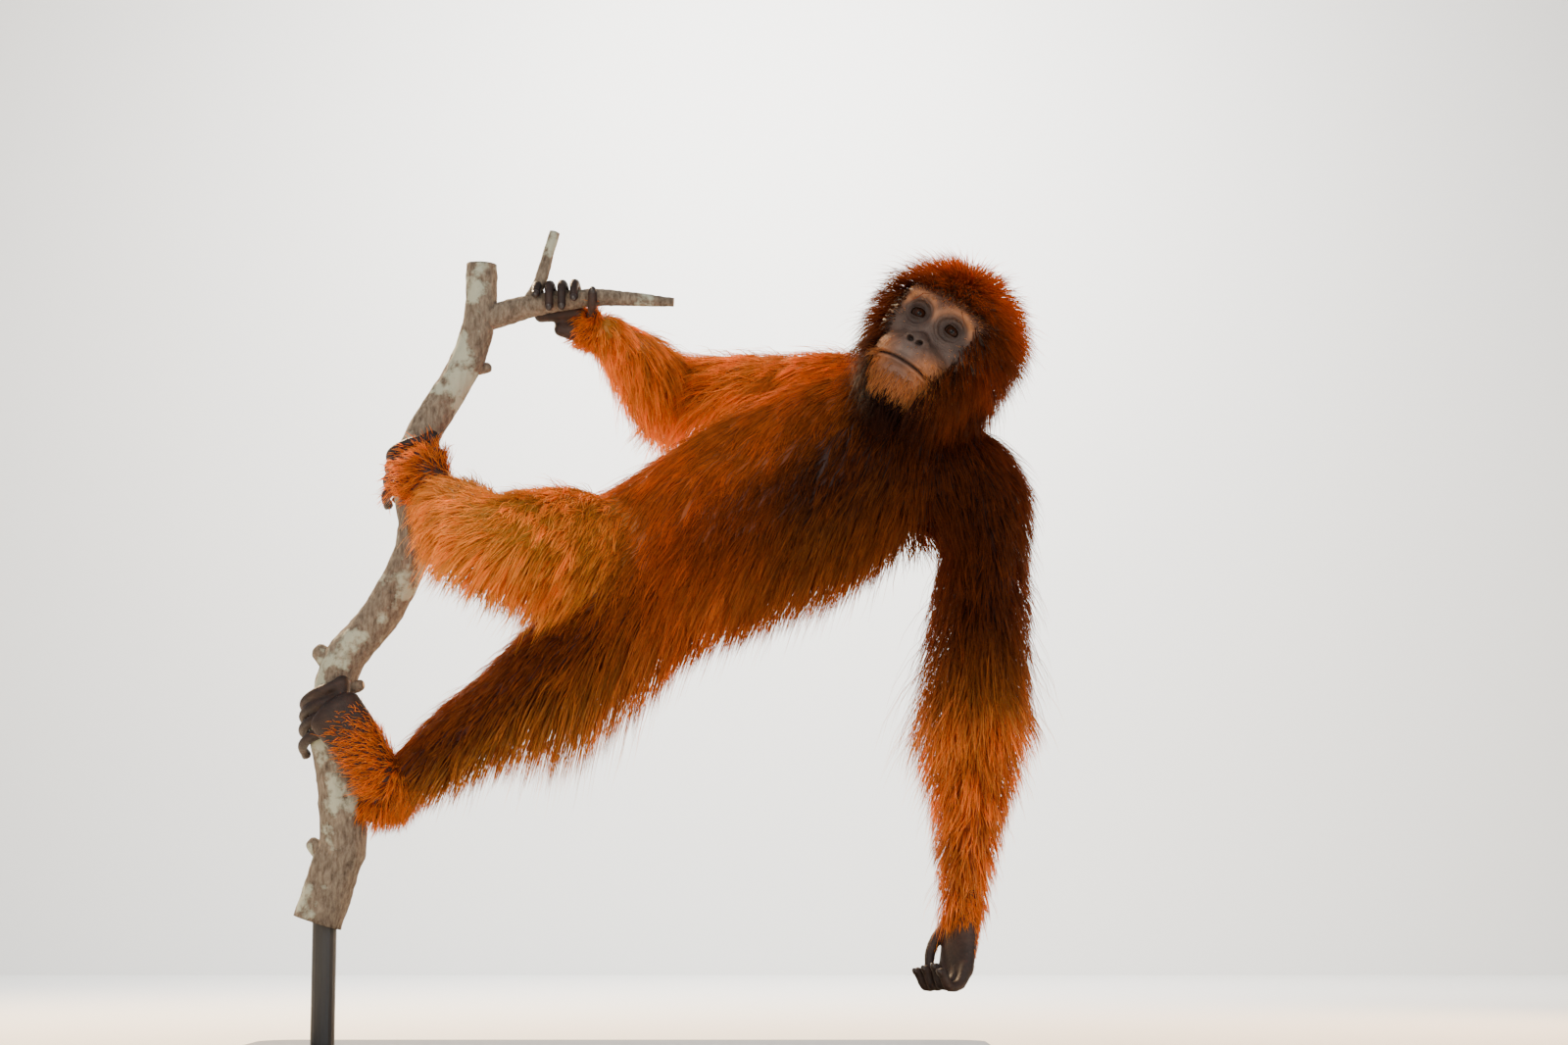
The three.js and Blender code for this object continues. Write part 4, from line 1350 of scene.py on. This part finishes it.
def hair_material():
    """Half of the light is turned back by the hair and half goes through it, made 1.6 times brighter as a
    painted glow.
    """
    material, tree = new_material("long hair, backlit")
    tone = add(tree, "VertexColor", layer_name="Tone").outputs["Color"]
    surface = add(tree, "BsdfPrincipled", [("Base Color", tone)], Roughness=0.6, Specular_IOR_Level=0.16)
    # The light that goes through takes the hair's colour made 1.6 times brighter: a painted glow.
    bright = add(tree, "HueSaturation", [("Color", tone)], Value=1.6, Saturation=1.0)
    through = add(tree, "BsdfTranslucent", [("Color", bright.outputs["Color"])])
    blend = add(tree, "MixShader", [(1, surface.outputs[0]), (2, through.outputs[0])], Fac=0.5)
    return finished(material, blend)


HAIR = hair_material()
print("hair maker ready")

# %% [markdown]
# ## The long coat
# Length, lie and colour follow the body part. On the upper arm the hair runs down to the elbow and
# on the forearm it runs back up to it, so the two meet in a long fringe there. The flank, the thigh
# and the rump carry the longest hair; the chest and belly are thin.


# %% Coat rules
def rules_on(key, along, turn, normal):
    """Lie, length in mm, lift, droop and share of gold at the tip, a painted rim light, on one body form."""
    way = MASSES[key].at(along)
    front = np.clip(np.cos(turn), 0, 1)
    low = np.clip(-normal[:, 2], 0, 1)
    high = np.clip(normal[:, 2], 0, 1)
    far = np.clip(normal[:, 1], 0, 1)
    near = np.clip(-normal[:, 1], 0, 1)
    if key == "spine":
        rump = np.clip(1 - along / 0.3, 0, 1)
        length = 64 - 20 * front + (62 + 80 * rump) * low
        gold = 0.08 + 0.6 * low * (1 - 0.5 * along) + 0.3 * high
        return -way + 0.5 * DOWN, length, 0.25, 0.9 + 1.4 * low, gold
    if key == "neck":
        return -way + 0.6 * DOWN, 90, 0.35, 0.9, 0.04
    if key.startswith("shoulder"):
        return 0.7 * way + DOWN, 76 + 20 * low, 0.35, 1.0, 0.04 if key == "shoulder_left" else 0.5
    wrist = np.clip((along - 0.74) / 0.2, 0, 1)
    if key == "arm_left":
        upper = (along < 0.46)[:, None]
        elbow = bell(along, 0.48, 0.2)
        side = np.clip(-normal[:, 0], -0.25, 1)
        length = (60 + 70 * elbow) * (1 - 0.15 * wrist) * (1 + 0.3 * side)
        gold = 0.12 + 0.6 * np.clip((along - 0.34) / 0.2, 0, 1)
        return np.where(upper, way, 0.4 * way), length, 0.95 - 0.2 * wrist, 0.75, gold
    if key == "arm_right":
        upper = (along < 0.5)[:, None]
        elbow = bell(along, 0.5, 0.2)
        length = (56 + 40 * elbow + 34 * low) * (1 - 0.4 * wrist) * (1 - 0.45 * far)
        return np.where(upper, way, -0.55 * way + 0.5 * DOWN), length, 0.55, 1.0 + 0.8 * low, 0.75
    if key == "leg_right":
        length = (60 + 46 * low) * (1 - 0.35 * wrist) * (1 - 0.3 * near)
        return way + 0.3 * DOWN, length, 0.6, 0.9 + low, 0.85
    fringe = low * bell(along, 0.16, 0.32)
    length = (50 + 36 * low + 125 * fringe) * (1 - 0.3 * wrist)
    return way, length, 0.45, 0.7 + 2.6 * fringe + 0.8 * low, 0.25 + 0.65 * low


def coat_rules(p, normal):
    """The rules at roots p, each body form having its say."""
    told = shares(p)
    out = [0.0] * 5
    for key, (say, along, turn) in told.items():
        for i, value in enumerate(rules_on(key, along, turn, normal)):
            part = say[:, None] * value if i == 0 else say * value
            out[i] = out[i] + part
    lie, length, lift, droop, gold = out
    return along_skin(lie, normal), length, lift, droop, gold, coat_tone_and_painted_light(p, told)


LOCK_WAVE = 0.08
PIECE_HAIRS = 8500


def grow_coat(count, locks_count, cover):
    """The body's hair, in pieces of about PIECE_HAIRS hairs."""
    skin = SKINS["body"]
    _, lock_root, lock_normal = sample_roots(skin, locks_count, cover)
    lie, length, lift, droop, _, _ = coat_rules(lock_root, lock_normal)
    lie = strayed(lie, lock_normal, 0.3)
    wave = np.full(locks_count, LOCK_WAVE)
    guide = hair_paths(lock_root, lock_normal, lie, length * 1.04, lift, droop * 1.1, wave, 4)
    pick, root, normal = sample_roots(skin, count, cover)
    group = nearest_index(root, lock_root)
    lie, length, lift, droop, gold, tone = coat_rules(root, normal)
    lie = strayed(lie, normal, 0.28)
    curl = rng.uniform(0.05, 0.2, count)
    loose = rng.random(count) < 0.14
    reach = length * rng.uniform(0.62, 1.15, count) * np.where(loose, 1.2, 1.0)
    rise = lift * rng.uniform(0.6, 1.5, count) + np.where(loose, 0.45, 0.0)
    line = hair_paths(root, normal, lie, reach, rise, droop, curl, 4)
    line = gather(line, group, guide, rng.uniform(0.15, 0.85, count) * np.where(loose, 0.25, 1.0))
    shade = rng.uniform(0.72, 1.22, (count, 1)) * rng.uniform(0.8, 1.15, (locks_count, 1))[group]
    # Roots darker than the tips by 0.78: painted shade deep in the coat.
    root_tone = tone * shade * 0.78
    # Gold and pale ends: painted rim light from the key behind.
    ends = mix(ORANGE, mix(GOLD, PALE, 0.4 * rng.random(count)), 1.3 * gold)
    tip = mix(tone, ends, (0.15 + 0.85 * gold) * rng.uniform(0.5, 1.3, count))
    uv = uv_of(skin, pick, root)
    thick = 1.7 * rng.uniform(0.75, 1.25, count) * np.where(loose, 0.7, 1.0)
    share = int(math.ceil(count / math.ceil(count / PIECE_HAIRS)))
    for k, start in enumerate(range(0, count, share)):
        s = slice(start, start + share)
        hair_mesh(f"coat_long_{k}", line[s], normal[s], thick[s], root_tone[s], (tip * shade)[s], uv[s])
    print(count, "hairs in", locks_count, "locks")


def nearest_index(points, targets):
    tree = kdtree.KDTree(len(targets))
    for i, t in enumerate(targets):
        tree.insert(t, i)
    tree.balance()
    return np.array([tree.find(p)[1] for p in points])


head_zone = to_head(SKINS["body"]["centre"])
in_head = np.linalg.norm((head_zone - [0, -10, 5]) / [64, 72, 64], axis=1) < 1
HAIRS = 48000
grow_coat(HAIRS, HAIRS // 14, np.where(in_head, 0.0, 1.0))

# %% [markdown]
# ## Hair of the head
# The hair of the head springs from a whorl behind the brow and stands out round it, short on top,
# where painted light turns it orange, and longer down the cheeks and throat, where painted shade
# darkens it, most of all round the face. The face is bare but for a short pale beard and the brows.


# %% Head hair
def face_edge(q):
    """Below 1 on the bare face, 1 at its edge and more in the hair."""
    wide = 57 - 0.16 * np.maximum(10 - q[:, 2], 0)
    return np.where(q[:, 1] > 24, np.maximum(np.abs(q[:, 0]) / wide, np.abs(q[:, 2] + 18) / 78), 1.6)


def on_face(q):
    return np.clip((1.0 - face_edge(q)) * 6, 0, 1)


WHORL = np.array([0.0, 26.0, 96.0])


def head_rules(root, normal):
    """Lie, length in mm, lift, droop and share of the way down the cheek, on the head."""
    q = to_head(root)
    lie = along_skin((q - WHORL) @ HEAD_AXES, normal)
    drop = np.clip((-q[:, 2] + 10) / 80, 0, 1)
    length = 42 + 18 * (1 - np.abs(q[:, 2] - 60) / 90) + 56 * drop
    return lie, length, 1.9 - 1.4 * drop, 0.35 + 0.9 * drop, drop


def grow_head(count, locks_count):
    skin = SKINS["head"]
    local = to_head(skin["centre"])
    from_whorl = np.linalg.norm(local - WHORL, axis=1)
    cover = (1 - on_face(local)) * (1 + 2.2 * bell(from_whorl, 0, 26))
    _, lock_root, lock_normal = sample_roots(skin, locks_count, cover)
    pick, root, normal = sample_roots(skin, count, cover)
    lie, length, lift, droop, _ = head_rules(lock_root, lock_normal)
    lie = strayed(lie, lock_normal, 0.35)
    wave = np.full(locks_count, LOCK_WAVE)
    guide = hair_paths(lock_root, lock_normal, lie, length, lift, droop, wave, 3)
    lie, length, lift, droop, drop = head_rules(root, normal)
    group = nearest_index(root, lock_root)
    lie = strayed(lie, normal, 0.3)
    loose = rng.random(count) < 0.15
    reach = length * rng.uniform(0.5, 1.2, count) * np.where(loose, 1.25, 1.0)
    rise = lift * rng.uniform(0.5, 1.5, count) + 0.3 * loose
    line = hair_paths(root, normal, lie, reach, rise, droop, rng.uniform(0.05, 0.22, count), 3)
    line = gather(line, group, guide, rng.uniform(0.1, 0.75, count) * np.where(loose, 0.2, 1.0))
    q = to_head(root)
    crown = np.clip((q[:, 2] - 40) / 50, 0, 1)
    # Orange on the crown: painted light from the key above.
    tone = mix(mix(DARK, RUST, 0.7 * noise(q, 60, 8)), ORANGE, 0.7 * crown)
    # Darker down the cheeks, round the face and at the throat: painted shade.
    by_face = bell(face_edge(q), 1.0, 0.28) * (1 - crown)
    tone = mix(tone, UMBER, 0.45 * drop + 0.75 * by_face)
    throat = np.clip((-q[:, 2] - 45) / 30, 0, 1) * np.clip(q[:, 1] / 20, 0, 1)
    tone = mix(tone, UMBER, 0.75 * throat)
    # Orange tips, most on the crown and least at the throat: painted light.
    tip = mix(tone, ORANGE, (0.35 + 0.45 * crown) * (1 - 0.8 * throat))
    shade = rng.uniform(0.7, 1.25, (count, 1))
    thick = 1.5 * rng.uniform(0.7, 1.2, count) * np.where(loose, 0.7, 1.0)
    uv = uv_of(skin, pick, root)
    # Roots a quarter darker than the tips: painted shade deep in the hair.
    hair_mesh("coat_head", line, normal, thick, tone * shade * 0.75, tip * shade, uv)
    print("head hair:", count)


grow_head(12000, 900)

# %% [markdown]
# The beard and the fine hair of the face are short and pale, thickest at the chin and the corners
# of the mouth. The backs of the hands and feet carry short hair too.


# %% Beard and short hair
def grow_short(name, skin, count, cover, flow, length, tone, tip, width=0.9, droop=0.3):
    """Short hair: flow and length are functions of the roots."""
    pick, root, normal = sample_roots(skin, count, cover)
    lie = strayed(along_skin(flow(root), normal), normal, 0.35)
    reach = length(root) * rng.uniform(0.6, 1.2, count)
    rise = 0.5 * rng.uniform(0.6, 1.5, count)
    hang = np.full(count, droop)
    line = hair_paths(root, normal, lie, reach, rise, hang, rng.uniform(0.05, 0.25, count), 3)
    shade = rng.uniform(0.7, 1.25, (count, 1))
    thick = width * rng.uniform(0.7, 1.3, count)
    uv = uv_of(skin, pick, root)
    hair_mesh(name, line, normal, thick, tone * shade, tip * shade, uv)


def beard_cover(q):
    x, y, z = q[:, 0], q[:, 1], q[:, 2]
    chin = within(z, -125, -68, 4) * (y > 22)
    corner = within(z, -90, -48, 5) * within(np.abs(x), 34, 80, 4) * (y > 20)
    cheek = 0.25 * within(np.abs(x), 44, 80, 4) * within(z, -60, 20, 8) * (y > 20)
    lip = (0.05 + 0.3 * within(np.abs(x), 22, 60, 4)) * within(z, -48, -26, 3) * (y > 50)
    brow = 0.5 * within(z, 40, 80, 3) * (y > 30)
    return chin + corner + cheek + lip + brow


head_skin = SKINS["head"]
grow_short(
    "coat_beard",
    head_skin,
    5200,
    beard_cover(to_head(head_skin["centre"])),
    lambda p: (to_head(p) - [0, 70, 10]) @ HEAD_AXES + 0.4 * DOWN,
    lambda p: np.where(to_head(p)[:, 2] < -50, 25.0, 8.0),
    linear("#9a5a2c"),
    linear("#d9a066"),
)

BACKS = {"hand_right": (66, 28), "hand_left": (100, 22), "foot_right": (112, 44), "foot_left": (150, 48)}
BACK_FACES = {
    "hand_right": unit([0.1, 0.6, -0.8]),
    "hand_left": -PALM_FACE,
    "foot_right": unit([0.3, -0.9, 0.4]),
    "foot_left": unit([0.5, -0.8, 0.4]),
}


def back_flow(wrist):
    """Away from the wrist and down."""
    return lambda p: unit(p - wrist) + 0.5 * DOWN


def back_length(wrist, longest):
    """Longest at the wrist, shorter along the back."""
    return lambda p: longest * np.clip(1.15 - np.linalg.norm(p - wrist, axis=1) / 140, 0.3, 1)


for name, (spread, longest) in BACKS.items():
    skin = SKINS[name]
    wrist = WRISTS[name]
    far = np.linalg.norm(skin["centre"] - wrist, axis=1)
    back = skin["normal"] @ BACK_FACES[name]
    cover = np.clip(back + 0.3, 0, 1) * np.clip((spread - far) / 50, 0.0, 1) + 0.9 * (far < 42)
    grow_short(
        "coat_" + name,
        skin,
        2400,
        cover,
        back_flow(wrist),
        back_length(wrist, longest),
        mix(RUST, ORANGE, 0.5),
        mix(ORANGE, GOLD, 0.7),
        width=1.3,
        droop=0.6,
    )
print("short hair grown")

# %% [markdown]
# ## The trunk and its branch
# A length of a young forest tree, cut square at both ends: grey-brown bark with ring scars, pale
# lichen and a few stubs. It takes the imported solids' line, with swellings at the rings and a fine
# skin of bark over it.

# %% Perch
TRUNK = round_form(
    [
        (-462, 0, 222, 39),
        (-438, 0, 300, 38),
        (-424, 0, 345, 37),
        (-430, 0, 436, 36),
        (-446, 0, 513, 33),
        (-444, 0, 574, 32),
        (-427, 0, 633, 32),
        (-377, 0, 695, 31),
        (-337, 0, 767, 30),
        (-318, 0, 838, 29),
        (-326, 0, 900, 29),
        (-317, 0, 971, 29),
        (-274, 0, 1050, 27),
        (-239, 0, 1113, 27),
        (-222, 0, 1185, 26),
        (-220, 0, 1265, 24),
    ],
    per_span=14,
)
BRANCH = round_form(
    [
        (-222, 0, 1172, 20),
        (-175, 0, 1188, 20),
        (-131, -4, 1198, 18),
        (-81, -6, 1206, 16),
        (-21, -8, 1209, 13.5),
        (40, -10, 1205, 10.5),
        (88, -12, 1201, 7.5),
    ],
    per_span=14,
)
OFFSHOOT = round_form(
    [
        (-150, -2, 1194, 12),
        (-128, -2, 1232, 10.5),
        (-116, 0, 1275, 9.5),
        (-104, 2, 1318, 8.5),
    ],
    per_span=12,
)


def bark_tube(name, form, sides, rough, seed):
    """A tube with square ends, swelling at its ring scars and ridged along the grain."""
    rings = len(form.line)
    turn = np.linspace(0, 2 * math.pi, sides, endpoint=False)
    run = np.concatenate([[0], np.cumsum(np.linalg.norm(np.diff(form.line, axis=0), axis=1))])
    scars = np.random.default_rng(seed).uniform(0, run[-1], int(run[-1] / 62))
    swell = sum((bell(run, s, 4.0) for s in scars), np.zeros(rings))
    cos, sin = np.cos(turn)[None, :, None], np.sin(turn)[None, :, None]
    direction = cos * form.deep[:, None] + sin * form.wide[:, None]
    radius = form.wide_r[:, None] * np.ones((1, sides))
    middle = form.line[:, None] + direction * radius[..., None]
    ridges = noise(middle * [1, 1, 0.3], 9, seed) - 0.5
    lumps = noise(middle, 46, seed + 1) - 0.5
    radius = radius + rough * (1.5 * ridges + 2.2 * lumps + 0.9 * np.minimum(swell, 1)[:, None]) - 0.5 * rough
    points = (form.line[:, None] + direction * radius[..., None]).reshape(-1, 3)
    quads = tube_quads(rings, sides)[:, ::-1]
    rim = np.arange(sides)
    ends = []
    for ring, order in ((0, [0, 1, 2]), (rings - 1, [0, 2, 1])):
        middle_point = np.full(sides, len(points))
        fan = [middle_point, ring * sides + rim, ring * sides + (rim + 1) % sides]
        ends.append(np.stack(fan, axis=1)[:, order])
        points = np.vstack([points, form.line[ring]])
    whole = np.concatenate([quads[:, [0, 1, 2]], quads[:, [0, 2, 3]], *ends])
    item = mesh_object(name, points * MM, whole)
    cut = np.arange(len(whole)) >= len(quads) * 2
    item.data.polygons.foreach_set("material_index", cut.astype(np.int32))
    item.data.polygons.foreach_set("use_smooth", ~cut)
    return item


def bark_material():
    material, tree = new_material("bark, grey-brown with lichen")
    place = add(tree, "TexCoord").outputs["Object"]
    stretch = add(tree, "Mapping", [("Vector", place)])
    stretch.inputs["Scale"].default_value = (1.0, 1.0, 0.35)
    broad = add(tree, "TexNoise", [("Vector", place)], Scale=14.0, Detail=6.0, Roughness=0.6)
    along = [("Vector", stretch.outputs["Vector"])]
    fine = add(tree, "TexNoise", along, Scale=160.0, Detail=8.0, Roughness=0.7)
    base = ramp(tree, fine.outputs["Fac"], (0.3, rgba("#3a2e25")), (0.75, rgba("#9a8a76")))
    patch = ramp(tree, broad.outputs["Fac"], (0.54, (0, 0, 0, 1)), (0.60, (0.75, 0.75, 0.75, 1)))
    lichen = add(tree, "Mix", [("Factor", patch.outputs["Color"])], data_type="RGBA")
    tree.links.new(base.outputs["Color"], lichen.inputs[6])
    lichen.inputs[7].default_value = rgba("#b9bda6")
    height = add(tree, "Math", [(0, fine.outputs["Fac"]), (1, patch.outputs["Color"])], operation="ADD")
    bump = add(tree, "Bump", [("Height", height.outputs["Value"])], Strength=0.9, Distance=0.002)
    inputs = [("Base Color", lichen.outputs[2]), ("Normal", bump.outputs["Normal"])]
    return finished(material, add(tree, "BsdfPrincipled", inputs, Roughness=0.9))


def cut_wood_material():
    material, tree = new_material("sawn end grain")
    place = add(tree, "TexCoord").outputs["Object"]
    rings = add(tree, "TexNoise", [("Vector", place)], Scale=240.0, Detail=3.0)
    wood = ramp(tree, rings.outputs["Fac"], (0, rgba("#a57f52")), (1, rgba("#cfb182")))
    surface = add(tree, "BsdfPrincipled", [("Base Color", wood.outputs["Color"])], Roughness=0.75)
    return finished(material, surface)


KNOTS = [(0.1, -1.6, 15), (0.3, 1.5, 14), (0.395, -1.7, 17), (0.36, 1.4, 12), (0.865, 1.9, 11)]


def knot(place, turn, size):
    """The stub of a lost twig, in the collar that the bark grew round it."""
    i = int(place * (len(TRUNK.line) - 1))
    out = math.cos(turn) * TRUNK.deep[i] + math.sin(turn) * TRUNK.wide[i]
    root = TRUNK.line[i] + out * TRUNK.wide_r[i]
    steps = [(-12, 1.05), (0, 0.95), (7, 0.84), (12, 0.74), (15, 0.5)]
    return Form([(*(root + (out - 0.4 * DOWN) * reach), size * f, size * f) for reach, f in steps])


BARK, END_GRAIN = bark_material(), cut_wood_material()
perch_pieces = [
    ("bark_trunk", TRUNK, 48, 1.0, 31, "perch_trunk"),
    ("bark_branch", BRANCH, 32, 0.6, 32, "perch_branch"),
    ("bark_offshoot", OFFSHOOT, 20, 0.4, 33, "perch_branch"),
]
for k, (place, turn, size) in enumerate(KNOTS):
    perch_pieces.append((f"bark_knot_{k}", knot(place, turn, size), 16, 0.7, 40 + k, "perch_trunk"))
for name, form, sides, rough, seed, node in perch_pieces:
    piece = bark_tube(name, form, sides, rough, seed)
    piece.data.materials.append(BARK)
    piece.data.materials.append(END_GRAIN)
    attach(piece, "root")
    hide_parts(node)
print("perch built")

# %% [markdown]
# ## The display base
# A museum would stand the trunk on a steel rod, let into a heavy board finished in satin black.
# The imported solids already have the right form, so they are shown as they are.


# %% Stand finish
def stand_material():
    material, tree = new_material("satin black lacquer, sprayed")
    place = add(tree, "TexCoord").outputs["Object"]
    peel = add(tree, "TexNoise", [("Vector", place)], Scale=420.0, Detail=2.0)
    bump = add(tree, "Bump", [("Height", peel.outputs["Fac"])], Strength=0.12, Distance=0.0004)
    black = rgba("#2c2b2a")
    inputs = [("Normal", bump.outputs["Normal"])]
    return finished(material, add(tree, "BsdfPrincipled", inputs, Roughness=0.42, Base_Color=black))


STAND = stand_material()
for name in ("stand_base", "stand_rod"):
    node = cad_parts[name]
    node.data.materials.clear()
    node.data.materials.append(STAND)
print("stand finished")

# %% [markdown]
# ## Studio, light and camera
# A pale sweep of paper, a warm key from behind and above on the viewer's left that lights the hair
# through, as the sun does in the photograph, a broad soft fill in front, and a camera low in front,
# looking slightly up.

# %% Studio
bpy.ops.mesh.primitive_plane_add(size=1)
floor = bpy.context.object
floor.name = "studio_floor"
floor.scale = (40, 40, 1)
floor.location = (0, 0, -0.001)
backdrop_points = [(-20, 6, -0.001), (20, 6, -0.001), (20, 6, 14), (-20, 6, 14)]
backdrop = mesh_object("studio_backdrop", backdrop_points, [(0, 1, 2, 3)], smooth=False)


paper, tree = new_material("studio paper, matt")
finished(paper, add(tree, "BsdfPrincipled", Roughness=0.95, Base_Color=rgba("#f1f0ec")))
for item in (floor, backdrop):
    item.data.materials.append(paper)


def area_light(name, place, target, size, power, colour):
    lamp = bpy.data.lights.new(name, "AREA")
    lamp.shape = "DISK"
    lamp.size = size
    lamp.energy = power
    lamp.color = linear(colour)
    item = bpy.data.objects.new(name, lamp)
    item.location = place
    item.rotation_euler = (Vector(target) - Vector(place)).to_track_quat("-Z", "Y").to_euler()
    bpy.context.scene.collection.objects.link(item)


CENTRE = (0.1, 0, 0.85)
area_light("key_behind", (-1.6, 2.3, 3.0), CENTRE, 0.8, 420, "#ffdcae")
area_light("rim_right", (2.4, 1.8, 1.6), CENTRE, 0.9, 110, "#ffcf9c")
area_light("fill_front", (-1.2, -3.6, 2.6), CENTRE, 2.6, 90, "#fff4e6")
area_light("backdrop_wash", (0.2, 3.4, 3.6), (0.2, 6.0, 1.6), 2.4, 420, "#ffffff")
area_light("fill_low", (1.6, -3.2, 0.7), CENTRE, 2.0, 26, "#ffffff")
world = bpy.data.worlds.new("studio")
bpy.context.scene.world = world
world.use_nodes = True
world.node_tree.nodes["Background"].inputs["Color"].default_value = rgba("#e8ecf2")
world.node_tree.nodes["Background"].inputs["Strength"].default_value = 0.6

LENS_MM = 66.774
CAMERA_AT = (0.2635, -4.560886, 0.25)
LOOK_UP = 7.477
camera_data = bpy.data.cameras.new("camera")
camera_data.lens = LENS_MM
camera_data.sensor_width = 36
camera_data.clip_end = 100
camera = bpy.data.objects.new("camera", camera_data)
camera.location = CAMERA_AT
camera.rotation_euler = (math.radians(90 + LOOK_UP), 0, 0)
bpy.context.scene.collection.objects.link(camera)
bpy.context.scene.camera = camera
print("studio ready")
